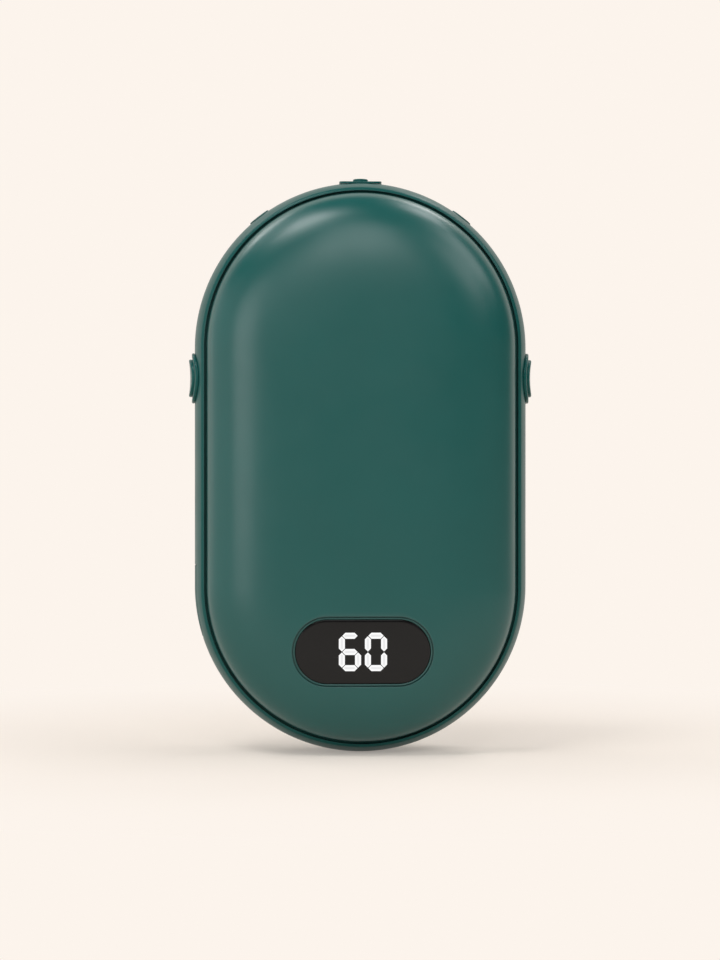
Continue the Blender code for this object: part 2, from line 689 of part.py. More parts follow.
def make_band():
    """The mid frame, with holes for the keys, the shoulder screws and the charging port."""
    band = add_part("mid_frame", swept_mesh("mid_frame", band_profile()), BAND_GREEN, BODY_MIDDLE)
    for name, angle in (("left", -SHOULDER_ANGLE), ("right", SHOULDER_ANGLE)):
        place, turn = station(angle)
        boss = rod_mesh("boss", SCREW_BOSS_RADIUS, -BAND_WALL - FRAME_BOSS_REACH, -BAND_WALL / 2)
        combine(band, "UNION", add_cutter(f"{name}_frame_boss", boss, place, turn))
        for stage, radius, near, far in (
            ("plug_seat", PLUG_RADIUS + SNUG, -PLUG_HEAD_DEPTH - SNUG, OVERRUN),
            ("head_seat", SCREW_HEAD_RADIUS + CLEARANCE, -SCREW_SEAT, OVERRUN),
            ("screw_way", SCREW_RADIUS + CLEARANCE, -OVERRUN, OVERRUN),
        ):
            hole = rod_mesh(stage, radius, near, far)
            combine(band, "DIFFERENCE", add_cutter(f"{name}_{stage}", hole, place, turn))
    for name, angle, height, radius in (
        ("left_key", -SIDE_ANGLE, SIDE_KEY_HEIGHT, KEY_NECK_RADIUS + SNUG),
        ("right_key", SIDE_ANGLE, SIDE_KEY_HEIGHT, KEY_NECK_RADIUS + SNUG),
        ("power_key", 0.0, TOP_CENTRE, POWER_NECK_RADIUS + SNUG),
    ):
        hole = rod_mesh(name, radius, -OVERRUN, OVERRUN, KEY_STEPS)
        combine(band, "DIFFERENCE", add_cutter(f"{name}_hole", hole, *station(angle, height)))
    block_height = COVER_TOP - COVER_BOTTOM + 2 * PORT_BLOCK_MARGIN
    block = block_mesh("port_block", PORT_BLOCK_DEPTH, KEY_EAR_WIDTH, block_height)
    block_place = (
        -END_RADIUS + PORT_BLOCK_INSET + PORT_BLOCK_DEPTH / 2, 0, (COVER_TOP + COVER_BOTTOM) / 2
    )
    combine(band, "UNION", add_cutter("port_block", block, block_place))
    combine(band, "DIFFERENCE", make_cover_recess(), make_port_slot(), make_tether_way())
    return band


def make_port_slot():
    """The way through the band wall for the charging socket and a plug."""
    width = SOCKET_THICKNESS + 2 * PORT_SLOT_MARGIN
    outline = rounded_outline(width, SOCKET_WIDTH + 2 * PORT_SLOT_MARGIN, width / 2)
    slot = sheet_mesh("port_slot", [outline], OVERRUN)
    return add_cutter("port_slot", slot, (PORT_MOUTH, 0, PORT_HEIGHT), FACING_X)


def make_tether_way():
    """The hole that the root of the port cover is pushed through."""
    way = rod_mesh("tether_way", TETHER_RADIUS + COVER_GAP, -OVERRUN, OVERRUN)
    return add_cutter("tether_way", way, *station(-SIDE_ANGLE, COVER_TOP))


# Shells, gaskets and window

def shell_profile():
    """Section of a shell: dome, skirt, snap ring and the inside of the dome."""
    snap_outer = RIM_INSET - SNAP_WALL
    outer = dome_points(SHELL_INSET, BAND_EDGE, SHELL_FACE)
    inner = dome_points(RIM_INSET, INNER_DOME_BASE, SHELL_BACK, INNER_DOME_STEPS)
    rim = [
        (SHELL_INSET, SKIRT_END),
        (snap_outer, SKIRT_END),
        (snap_outer, SNAP_END + 2 * SNAP_BEAD_HEIGHT),
        (snap_outer - SNAP_BEAD, SNAP_END + SNAP_BEAD_HEIGHT),
        (snap_outer, SNAP_END),
        (RIM_INSET, SNAP_END),
    ]
    return outer + rim + inner[::-1]


def relief_cutters():
    """Blocks that part the snap ring into hooks where keys, screws and the port come through."""
    reliefs = []
    ring_end = RIM_INSET + CLEARANCE
    depth = 2 * SKIRT_END - 2 * CLEARANCE
    for name, angle, height, width, reach in (
        ("left_key_relief", -SIDE_ANGLE, SIDE_KEY_HEIGHT, SNAP_RELIEF_WIDTH, ring_end),
        ("right_key_relief", SIDE_ANGLE, SIDE_KEY_HEIGHT, SNAP_RELIEF_WIDTH, ring_end),
        ("power_key_relief", 0.0, TOP_CENTRE, SNAP_RELIEF_WIDTH, ring_end),
        ("left_screw_relief", -SHOULDER_ANGLE, TOP_CENTRE, SCREW_RELIEF_WIDTH, ring_end),
        ("right_screw_relief", SHOULDER_ANGLE, TOP_CENTRE, SCREW_RELIEF_WIDTH, ring_end),
        ("port_relief", -SIDE_ANGLE, PORT_HEIGHT, PORT_RELIEF_HEIGHT, PORT_RELIEF_REACH),
    ):
        place, turn = station(angle, height)
        relief = block_mesh(name, width, depth, reach)
        relief_place = Vector(place) - outward(angle) * reach / 2
        reliefs.append(add_cutter(name, relief, relief_place, turn))
    return reliefs


def make_shells(reliefs):
    """Both shells, the front one with the display window."""
    shells = []
    for name, side in (("front_shell", FRONT), ("rear_shell", REAR)):
        mesh = swept_mesh(name, turned_to(side, shell_profile()), closed=False)
        shell = add_part(name, mesh, SATIN_GREEN, BODY_MIDDLE)
        combine(shell, "DIFFERENCE", *reliefs)
        shells.append(shell)
    front, rear = shells
    combine(front, "UNION", window_shape("window_collar", [
        (-WINDOW_COLLAR, -LENS_BACK_DEPTH),
        (-WINDOW_COLLAR, -WINDOW_BACK),
    ]))
    combine(front, "DIFFERENCE", window_shape("window_recess", [
        (-SNUG, -WINDOW_FLOOR),
        (-SNUG, -SHELL_FACE + WINDOW_CHAMFER),
        (-SNUG - WINDOW_CHAMFER, -SHELL_FACE),
        (-SNUG - WINDOW_CHAMFER, -SHELL_FACE - OVERRUN),
    ]))
    combine(front, "DIFFERENCE", window_shape("window_sight", [
        (SIGHT_BORDER, -WINDOW_FLOOR - SNUG),
        (SIGHT_BORDER, -WINDOW_BACK + SNUG),
    ]))
    return front, rear


def window_mesh(name, profile, closed=False):
    """A profile drawn round the lens outline."""
    radius = LENS_HEIGHT / 2
    return swept_mesh(name, profile, radius, LENS_WIDTH - LENS_HEIGHT, SMALL_END_STEPS, closed)


def window_shape(name, profile):
    """A cutter that follows the lens outline, lying along X at the window."""
    return add_cutter(name, window_mesh(name, profile), (0, 0, WINDOW_HEIGHT), LYING_ALONG_X)


def make_lens():
    """The smoked lens, whose front follows the dome just under its surface, and its seal."""
    mesh = window_mesh("display_lens", [(0, -LENS_BACK_DEPTH), (0, -SHELL_FACE - CLEARANCE)])
    lens = add_part("display_lens", mesh, SMOKED_LENS, (0, 0, WINDOW_HEIGHT), LYING_ALONG_X)
    dome = dome_points(SHELL_INSET, BAND_EDGE, SHELL_FACE - LENS_RECESS)
    dome.append((SHELL_INSET, 0))
    skin = swept_mesh("lens_dome", turned_to(FRONT, dome), closed=False)
    combine(lens, "INTERSECT", add_cutter("lens_dome", skin, BODY_MIDDLE))
    near = WINDOW_FLOOR + SNUG
    seal = window_mesh("lens_seal", [
        (SEAL_BORDER, -near),
        (SEAL_BORDER, -near - SEAL_THICKNESS),
        (SEAL_BORDER + SEAL_WIDTH, -near - SEAL_THICKNESS),
        (SEAL_BORDER + SEAL_WIDTH, -near),
    ], closed=True)
    add_part("lens_seal", seal, ADHESIVE_BLACK, (0, 0, WINDOW_HEIGHT), LYING_ALONG_X)


def make_gaskets():
    """The black rings at the bottom of the grooves, squeezed between band and shells."""
    for name, side in (("front_gasket", FRONT), ("rear_gasket", REAR)):
        section = [
            (LIP_INSET + SNUG, SHELF_DEPTH + SNUG),
            (LIP_INSET + SNUG, GASKET_OUTER_DEPTH),
            (FLANGE_INSET - SNUG, GASKET_OUTER_DEPTH),
            (FLANGE_INSET - SNUG, SHELF_DEPTH + SNUG),
        ]
        add_part(name, swept_mesh(name, turned_to(side, section)), GASKET_BLACK, BODY_MIDDLE)


# Keys, switches and key boards

def make_belt_envelope():
    """The crowned face of the band, raised by the gap that what sits on it keeps."""
    half_width = BAND_EDGE - LIP_FILLET
    outer = belt_points(half_width, SNUG)
    section = outer + [(BAND_WALL, half_width), (BAND_WALL, -half_width)]
    return add_cutter("belt_envelope", swept_mesh("belt_envelope", section), BODY_MIDDLE)


def rounded_edge(radius, top, rounding):
    """Three points that round the outer edge of a turned piece."""
    lean = rounding * (1 - math.sqrt(0.5))
    return [
        (radius - rounding, top),
        (radius - lean, top - lean),
        (radius, top - rounding),
    ]


def crowned_mesh(name, radius, proud, rounding, bottom, dish=0.0):
    """A round piece whose face falls with the crown across the band and is dished along it."""
    face = [(radius - rounding) * step / KEY_FACE_RINGS for step in range(KEY_FACE_RINGS)]
    profile = [(ring, proud) for ring in face] + rounded_edge(radius, proud, rounding)
    profile += [(radius, bottom), (0, bottom)]
    form = bmesh.new()
    corners = [form.verts.new((ring, 0, height)) for ring, height in profile]
    edges = [form.edges.new(pair) for pair in zip(corners, corners[1:])]
    bmesh.ops.spin(
        form, geom=corners + edges, cent=(0, 0, 0), axis=(0, 0, 1), dvec=(0, 0, 0),
        angle=math.tau, steps=KEY_STEPS, use_merge=True, use_normal_flip=False,
        use_duplicate=False,
    )
    bmesh.ops.remove_doubles(form, verts=form.verts, dist=MERGE_DISTANCE)
    for corner in form.verts:
        if corner.co.z > 0:
            corner.co.z -= belt_inset(corner.co.y) + dish * (1 - (corner.co.x / radius) ** 2)
    return mesh_from(name, form)


def make_side_key(name, side, envelope):
    """A dished push key in its round surround, with the switch behind it."""
    place, turn = station(side * SIDE_ANGLE, SIDE_KEY_HEIGHT)
    mesh = crowned_mesh(f"{name}_surround", SURROUND_RADIUS, SURROUND_PROUD,
                        SURROUND_EDGE_ROUND, -BAND_WALL / 2)
    surround = add_part(f"{name}_surround", mesh, KEY_GREEN, place, turn)
    neck = crowned_mesh("neck", KEY_NECK_RADIUS, SURROUND_PROUD / 2, SURROUND_EDGE_ROUND, -BAND_WALL)
    bore = rod_mesh("bore", KEY_BORE_RADIUS, -OVERRUN, OVERRUN, KEY_STEPS)
    combine(surround, "DIFFERENCE", envelope)
    combine(surround, "UNION", add_cutter(f"{name}_neck", neck, place, turn))
    combine(surround, "DIFFERENCE", add_cutter(f"{name}_bore", bore, place, turn))
    skirt = -EAR_TOP - KEY_EAR_THICKNESS / 2
    mesh = crowned_mesh(name, KEY_RADIUS, KEY_FACE_PROUD, KEY_EDGE_ROUND, skirt, KEY_DISH)
    key = add_part(name, mesh, KEY_GREEN, place, turn)
    ears = block_mesh("ears", 2 * KEY_EAR_REACH, KEY_EAR_WIDTH, KEY_EAR_THICKNESS)
    ear_place = Vector(place) - outward(side * SIDE_ANGLE) * (EAR_TOP + KEY_EAR_THICKNESS / 2)
    combine(key, "UNION", add_cutter(f"{name}_ears", ears, ear_place, turn))
    make_switch(name, side * SIDE_ANGLE, SIDE_KEY_HEIGHT)


def dished_face(radius, proud, dish, rounding):
    """Points from the middle of a dished key face out over its rounded edge."""
    points = []
    rim = radius - rounding
    for step in range(FILLET_STEPS + 2):
        share = step / (FILLET_STEPS + 2)
        points.append((rim * share, proud - dish * (1 - share ** 2)))
    return points + rounded_edge(radius, proud, rounding)


def outward(angle):
    """The direction out of the outline at an angle from upright."""
    return Vector((math.sin(angle), 0, math.cos(angle)))


def make_power_key(envelope):
    """The small push key on top, in an oval plate, with the switch under it."""
    place, turn = station(0.0)
    corner = POWER_PLATE_WIDTH / 2
    outline = rounded_outline(POWER_PLATE_LENGTH, POWER_PLATE_WIDTH, corner)
    mesh = sheet_mesh("power_key_plate", [outline], POWER_PLATE_PROUD + POWER_PLATE_SKIRT)
    middle = (POWER_PLATE_PROUD - POWER_PLATE_SKIRT) / 2
    plate = add_part("power_key_plate", mesh, KEY_GREEN, (0, 0, BODY_HEIGHT + middle))
    neck = rod_mesh("neck", POWER_NECK_RADIUS, -BAND_WALL, POWER_PLATE_PROUD / 2, KEY_STEPS)
    bore = rod_mesh("bore", POWER_BORE_RADIUS, -OVERRUN, OVERRUN, KEY_STEPS)
    combine(plate, "DIFFERENCE", envelope)
    combine(plate, "UNION", add_cutter("power_key_neck", neck, place, turn))
    combine(plate, "DIFFERENCE", add_cutter("power_key_bore", bore, place, turn))
    ear_end = EAR_TOP + KEY_EAR_THICKNESS
    turned_part(
        "power_key",
        dished_face(POWER_RADIUS, POWER_FACE_PROUD, POWER_DISH, POWER_EDGE_ROUND)
        + [(POWER_RADIUS, -EAR_TOP), (POWER_EAR_REACH, -EAR_TOP),
           (POWER_EAR_REACH, -ear_end), (0, -ear_end)],
        KEY_GREEN, place, turn, PIN_STEPS,
    )
    make_switch("power_key", 0.0, TOP_CENTRE)


def make_switch(name, angle, height):
    """A tact switch: plunger, body with the hole that the plunger enters, and its board."""
    place, turn = station(angle, height)
    turned_part(
        f"{name}_switch_plunger",
        [(0, -PLUNGER_TOP), (PLUNGER_RADIUS, -PLUNGER_TOP),
         (PLUNGER_RADIUS, -PLUNGER_TOP - PLUNGER_LENGTH), (0, -PLUNGER_TOP - PLUNGER_LENGTH)],
        CHIP_BLACK, place, turn, PIN_STEPS,
    )
    body = block_mesh(f"{name}_switch_body", SWITCH_WIDTH, SWITCH_WIDTH, SWITCH_DEPTH)
    body_place = Vector(place) - outward(angle) * (SWITCH_TOP + SWITCH_DEPTH / 2)
    switch = add_part(f"{name}_switch_body", body, CHIP_BLACK, body_place, turn)
    pit_end = PLUNGER_TOP + PLUNGER_LENGTH + KEY_TRAVEL + SNUG
    pit = rod_mesh("pit", PLUNGER_RADIUS + CLEARANCE, -pit_end, 0)
    combine(switch, "DIFFERENCE", add_cutter(f"{name}_switch_pit", pit, place, turn))
    board = block_mesh(
        f"{name}_board", KEY_BOARD_LENGTH, KEY_BOARD_WIDTH, KEY_BOARD_THICKNESS
    )
    board_place = Vector(place) - outward(angle) * (KEY_BOARD_TOP + KEY_BOARD_THICKNESS / 2)
    add_part(f"{name}_board", board, BOARD_GREEN, board_place, turn)


# Shoulder screws and plugs

def make_screw(name, place, turn, head_top, length):
    """A pan-head screw with a round socket; its Z axis points out of the head."""
    under = head_top - SCREW_HEAD_HEIGHT
    bottom = head_top - SCREW_SOCKET_DEPTH
    turned_part(
        name,
        [(0, bottom), (SCREW_SOCKET_RADIUS, bottom), (SCREW_SOCKET_RADIUS, head_top),
         (SCREW_HEAD_RADIUS - PLUG_EDGE_ROUND, head_top),
         (SCREW_HEAD_RADIUS, head_top - PLUG_EDGE_ROUND), (SCREW_HEAD_RADIUS, under),
         (SCREW_RADIUS, under), (SCREW_RADIUS, under - length), (0, under - length)],
        SCREW_STEEL, place, turn, PIN_STEPS,
    )


def make_shoulders():
    """The two frame screws under soft plugs."""
    for name, angle in (("left", -SHOULDER_ANGLE), ("right", SHOULDER_ANGLE)):
        place, turn = station(angle)
        turned_part(
            f"{name}_screw_plug",
            [(0, PLUG_PROUD), *rounded_edge(PLUG_RADIUS, PLUG_PROUD, PLUG_EDGE_ROUND),
             (PLUG_RADIUS, -PLUG_HEAD_DEPTH), (PLUG_STEM_RADIUS, -PLUG_HEAD_DEPTH),
             (PLUG_STEM_RADIUS, -PLUG_HEAD_DEPTH - PLUG_STEM_LENGTH),
             (0, -PLUG_HEAD_DEPTH - PLUG_STEM_LENGTH)],
            SOFT_GREEN, place, turn, PIN_STEPS,
        )
        head_top = -SCREW_SEAT + CLEARANCE + SCREW_HEAD_HEIGHT
        make_screw(f"{name}_frame_screw", place, turn, head_top, FRAME_SCREW_LENGTH)


# Port cover and charging socket

def cover_mesh(name, margin, above):
    """The outline of the port cover, round at its lower end, with its origin on the hinge."""
    corner = COVER_WIDTH / 2 + margin
    lower = COVER_BOTTOM - COVER_TOP - margin + corner
    outline = []
    for step in range(SMALL_END_STEPS + 1):
        angle = math.pi + math.pi * step / SMALL_END_STEPS
        outline.append((corner * math.cos(angle), lower + corner * math.sin(angle)))
    outline += [(corner, above), (-corner, above)]
    return sheet_mesh(name, [outline], OVERRUN)


def make_cover_recess():
    """The seat of the port cover, sunk evenly below the crowned face of the band."""
    mesh = cover_mesh("cover_recess", COVER_GAP, KNUCKLE_RADIUS + COVER_GAP)
    recess = add_cutter("cover_recess", mesh, HINGE_PLACE, FACING_X)
    section = [
        (-OVERRUN, -BAND_EDGE), (-OVERRUN, BAND_EDGE),
        (COVER_SEAT_DEPTH, BAND_EDGE), (COVER_SEAT_DEPTH, -BAND_EDGE),
    ]
    skin = add_cutter("recess_skin", swept_mesh("recess_skin", section), BODY_MIDDLE)
    combine(recess, "INTERSECT", skin)
    return recess


def make_port_cover():
    """The soft flap, flush with the band, with its plug, knuckle, nail notch and root."""
    mesh = cover_mesh("port_cover", 0, 0)
    cover = add_part("port_cover", mesh, SOFT_GREEN, HINGE_PLACE, FACING_X)
    half_width = BAND_EDGE - LIP_FILLET
    section = belt_points(half_width)
    section += [(COVER_THICKNESS, half_width), (COVER_THICKNESS, -half_width)]
    skin = add_cutter("cover_skin", swept_mesh("cover_skin", section), BODY_MIDDLE)
    combine(cover, "INTERSECT", skin)
    knuckle = rod_mesh("knuckle", KNUCKLE_RADIUS, -COVER_WIDTH / 2, COVER_WIDTH / 2)
    combine(cover, "UNION", add_cutter("knuckle", knuckle, HINGE_PLACE, FACING_Y))
    outline = rounded_outline(
        COVER_PLUG_THICKNESS, COVER_PLUG_WIDTH, COVER_PLUG_THICKNESS / 2
    )
    plug_end = PORT_MOUTH + COVER_PLUG_ENTRY
    plug_start = -END_RADIUS + COVER_PLUG_START
    plug = sheet_mesh("cover_plug", [outline], plug_end - plug_start)
    plug_place = ((plug_start + plug_end) / 2, 0, PORT_HEIGHT)
    combine(cover, "UNION", add_cutter("cover_plug", plug, plug_place, FACING_X))
    drop = COVER_BOTTOM - END_RADIUS
    edge = -math.sqrt(END_RADIUS ** 2 - drop ** 2)
    notch = rod_mesh("nail_notch", NAIL_NOTCH_RADIUS, -COVER_WIDTH / 2, COVER_WIDTH / 2)
    notch_place = (edge - NAIL_NOTCH_RADIUS / 2, 0, COVER_BOTTOM)
    combine(cover, "DIFFERENCE", add_cutter("nail_notch", notch, notch_place, FACING_Y))
    outer_end = -2 * HINGE_INSET - COVER_GAP
    shoulder = -PORT_BLOCK_INSET - PORT_BLOCK_DEPTH - COVER_GAP
    turned_part(
        "port_cover_root",
        [(0, outer_end), (TETHER_RADIUS, outer_end), (TETHER_RADIUS, shoulder),
         (BARB_RADIUS, shoulder), (TETHER_RADIUS, shoulder - BARB_LENGTH),
         (0, shoulder - BARB_LENGTH)],
        SOFT_GREEN, *station(-SIDE_ANGLE, COVER_TOP), PIN_STEPS,
    )


def make_socket():
    """The charging socket: a drawn metal shell and the moulded tongue inside it."""
    corner = SOCKET_THICKNESS / 2
    middle = PORT_MOUTH + SOCKET_LENGTH / 2
    mesh = sheet_mesh(
        "socket_shell", [rounded_outline(SOCKET_THICKNESS, SOCKET_WIDTH, corner)], SOCKET_LENGTH
    )
    shell = add_part(
        "socket_shell", mesh, SOCKET_STEEL, (middle, 0, PORT_HEIGHT), FACING_X
    )
    inner_width = SOCKET_WIDTH - 2 * SOCKET_WALL
    inner_thickness = SOCKET_THICKNESS - 2 * SOCKET_WALL
    bore = sheet_mesh(
        "socket_bore", [rounded_outline(inner_thickness, inner_width, inner_thickness / 2)],
        SOCKET_LENGTH + OVERRUN,
    )
    combine(shell, "DIFFERENCE",
            add_cutter("socket_bore", bore, (middle, 0, PORT_HEIGHT), FACING_X))
    tongue_length = SOCKET_LENGTH - TONGUE_SETBACK
    tongue = add_part(
        "socket_tongue", block_mesh("socket_tongue", tongue_length, TONGUE_THICKNESS, TONGUE_WIDTH),
        CHIP_BLACK, (PORT_MOUTH + TONGUE_SETBACK + tongue_length / 2, 0, PORT_HEIGHT),
    )
    back_width = inner_width - 2 * SNUG
    back_thickness = inner_thickness - 2 * SNUG
    back = sheet_mesh(
        "socket_back", [rounded_outline(back_thickness, back_width, back_thickness / 2)],
        SOCKET_BACK_LENGTH,
    )
    back_place = (PORT_MOUTH + SOCKET_LENGTH - SOCKET_BACK_LENGTH / 2, 0, PORT_HEIGHT)
    combine(tongue, "UNION", add_cutter("socket_back", back, back_place, FACING_X))


# Display module

def segment_outlines(shrink):
    """Mitred bars of two seven-segment digits."""
    outlines = []
    reach_across = DIGIT_WIDTH - SEGMENT_WIDTH
    reach_up = (DIGIT_HEIGHT - SEGMENT_WIDTH) / 2
    for digit in (-DIGIT_PITCH / 2, DIGIT_PITCH / 2):
        for level in (-1, 0, 1):
            outlines.append(bar_outline(digit, level * reach_up, reach_across, False, shrink))
        for side in (-1, 1):
            for level in (-1, 1):
                across = digit + side * reach_across / 2
                outlines.append(bar_outline(across, level * reach_up / 2, reach_up, True, shrink))
    return outlines


def bar_outline(across, up, length, upright, shrink):
    """A hexagonal bar with pointed ends, along X or, if upright, along Z."""
    half = SEGMENT_WIDTH / 2 - shrink
    tip = length / 2 - SEGMENT_GAP / math.sqrt(2) - shrink
    shape = [
        (-tip, 0), (-tip + half, -half), (tip - half, -half),
        (tip, 0), (tip - half, half), (-tip + half, half),
    ]
    if upright:
        shape = [(-second, first) for first, second in shape]
    return [(across + first, up + second) for first, second in shape]


def make_display():
    """The two-digit module: reflector with slots, the light guide that fills it, and its board."""
    middle = -(MODULE_FRONT + MODULE_BACK) / 2
    reflector = add_part(
        "display_reflector",
        block_mesh("display_reflector", MODULE_WIDTH, MODULE_DEPTH, MODULE_HEIGHT),
        REFLECTOR_BLACK, (0, middle, WINDOW_HEIGHT),
    )
    inner_width = MODULE_WIDTH - 2 * MODULE_WALL
    inner_height = MODULE_HEIGHT - 2 * MODULE_WALL
    cavity_front = MODULE_FRONT - MODULE_WALL
    cavity_depth = cavity_front - MODULE_BACK + OVERRUN
    cavity = block_mesh("cavity", inner_width, cavity_depth, inner_height)
    cavity_place = (0, -cavity_front + cavity_depth / 2, WINDOW_HEIGHT)
    slots = sheet_mesh("segment_slots", segment_outlines(0), 2 * MODULE_WALL + CLEARANCE)
    slot_place = (0, -MODULE_FRONT + MODULE_WALL / 2, WINDOW_HEIGHT)
    combine(reflector, "DIFFERENCE", add_cutter("reflector_cavity", cavity, cavity_place))
    combine(reflector, "DIFFERENCE", add_cutter("segment_slots", slots, slot_place, FACING_Y))
    guide_front = cavity_front - SNUG
    guide_depth = guide_front - MODULE_BACK
    guide = add_part(
        "display_light_guide",
        block_mesh("display_light_guide", inner_width - 2 * SNUG, guide_depth,
                   inner_height - 2 * SNUG),
        GUIDE_WHITE, (0, -guide_front + guide_depth / 2, WINDOW_HEIGHT),
    )
    bar_end = MODULE_FRONT - SNUG
    bar_start = guide_front - MODULE_WALL
    bars = sheet_mesh("segment_bars", segment_outlines(GUIDE_GAP), bar_end - bar_start)
    bar_place = (0, -(bar_end + bar_start) / 2, WINDOW_HEIGHT)
    combine(guide, "UNION", add_cutter("segment_bars", bars, bar_place, FACING_Y))
    board = block_mesh("display_board", MODULE_WIDTH, DISPLAY_BOARD_THICKNESS, MODULE_HEIGHT)
    board_front = MODULE_BACK - SNUG
    add_part("display_board", board, BOARD_GREEN,
             (0, -board_front + DISPLAY_BOARD_THICKNESS / 2, WINDOW_HEIGHT))


# Main board

def make_main_board():
    """The main board, round below like the body, with a tab under the charging socket."""
    section = [(BOARD_INSET, -BOARD_FRONT), (BOARD_INSET, -BOARD_REAR)]
    plate = swept_mesh("main_board", section, steps=INNER_END_STEPS, closed=False)
    board = add_part("main_board", plate, BOARD_GREEN, BODY_MIDDLE)
    tab_width = PORT_MOUTH + SOCKET_LENGTH + END_RADIUS - BOARD_TAB_INSET
    tab = block_mesh("board_tab", tab_width, BOARD_THICKNESS, BOARD_TAB_HEIGHT)
    tab_place = (
        -END_RADIUS + BOARD_TAB_INSET + tab_width / 2,
        -(BOARD_FRONT + BOARD_REAR) / 2, PORT_HEIGHT,
    )
    combine(board, "DIFFERENCE", upper_block("board_upper_cut", BOARD_TOP))
    combine(board, "UNION", add_cutter("board_tab", tab, tab_place))
    limit = [(BOARD_TAB_INSET, -BAND_EDGE), (BOARD_TAB_INSET, BAND_EDGE)]
    limit_mesh = swept_mesh("board_limit", limit, steps=INNER_END_STEPS, closed=False)
    combine(board, "INTERSECT", add_cutter("board_limit", limit_mesh, BODY_MIDDLE))
    for name, side in (("left", LEFT), ("right", RIGHT)):
        place = (side * BOARD_SCREW_SPREAD, 0, BOARD_SCREW_HEIGHT)
        hole = rod_mesh("board_hole", SCREW_RADIUS + CLEARANCE, -OVERRUN, OVERRUN)
        combine(board, "DIFFERENCE", add_cutter(f"{name}_board_hole", hole, place, FACING_Y))
        head_top = BOARD_FRONT + CLEARANCE + SCREW_HEAD_HEIGHT
        make_screw(f"{name}_board_screw", place, FACING_Y, head_top, BOARD_SCREW_LENGTH)
    rear = -BOARD_REAR + CLEARANCE
    for name, size, high, (across, up), material in (
        ("charger_chip", CHARGER_CHIP_SIZE, CHARGER_CHIP_HEIGHT, CHARGER_CHIP_PLACE, CHIP_BLACK),
        ("control_chip", CONTROL_CHIP_SIZE, CONTROL_CHIP_HEIGHT, CONTROL_CHIP_PLACE, CHIP_BLACK),
    ):
        add_part(name, block_mesh(name, size, high, size), material, (across, rear + high / 2, up))
    across, up = INDUCTOR_PLACE
    outline = rounded_outline(INDUCTOR_SIZE, INDUCTOR_SIZE, INDUCTOR_CORNER)
    add_part("power_inductor", sheet_mesh("power_inductor", [outline], INDUCTOR_HEIGHT),
             FERRITE_GREY, (across, rear + INDUCTOR_HEIGHT / 2, up), FACING_Y)
    across, up = BATTERY_SOCKET_PLACE
    middle = rear + BATTERY_SOCKET_DEPTH / 2
    socket = add_part(
        "battery_socket",
        block_mesh("battery_socket", BATTERY_SOCKET_WIDTH, BATTERY_SOCKET_DEPTH,
                   BATTERY_SOCKET_HEIGHT),
        CONNECTOR_WHITE, (across, middle, up),
    )
    mouth = block_mesh(
        "battery_socket_mouth", BATTERY_SOCKET_WIDTH - 2 * BATTERY_SOCKET_WALL,
        BATTERY_SOCKET_DEPTH - 2 * BATTERY_SOCKET_WALL, 2 * BATTERY_SOCKET_MOUTH,
    )
    mouth_place = (across, middle, up + BATTERY_SOCKET_HEIGHT / 2)
    combine(socket, "DIFFERENCE", add_cutter("battery_socket_mouth", mouth, mouth_place))


def upper_block(name, bottom):
    """A cutter that takes away everything above a height."""
    height = BODY_HEIGHT - bottom + OVERRUN
    block = block_mesh(name, BODY_WIDTH + OVERRUN, BODY_DEPTH + OVERRUN, height)
    return add_cutter(name, block, (0, 0, bottom + height / 2))


def lower_block(name, top):
    """A cutter that takes away everything below a height."""
    height = top + OVERRUN
    block = block_mesh(name, BODY_WIDTH + OVERRUN, BODY_DEPTH + OVERRUN, height)
    return add_cutter(name, block, (0, 0, top - height / 2))


# Chassis

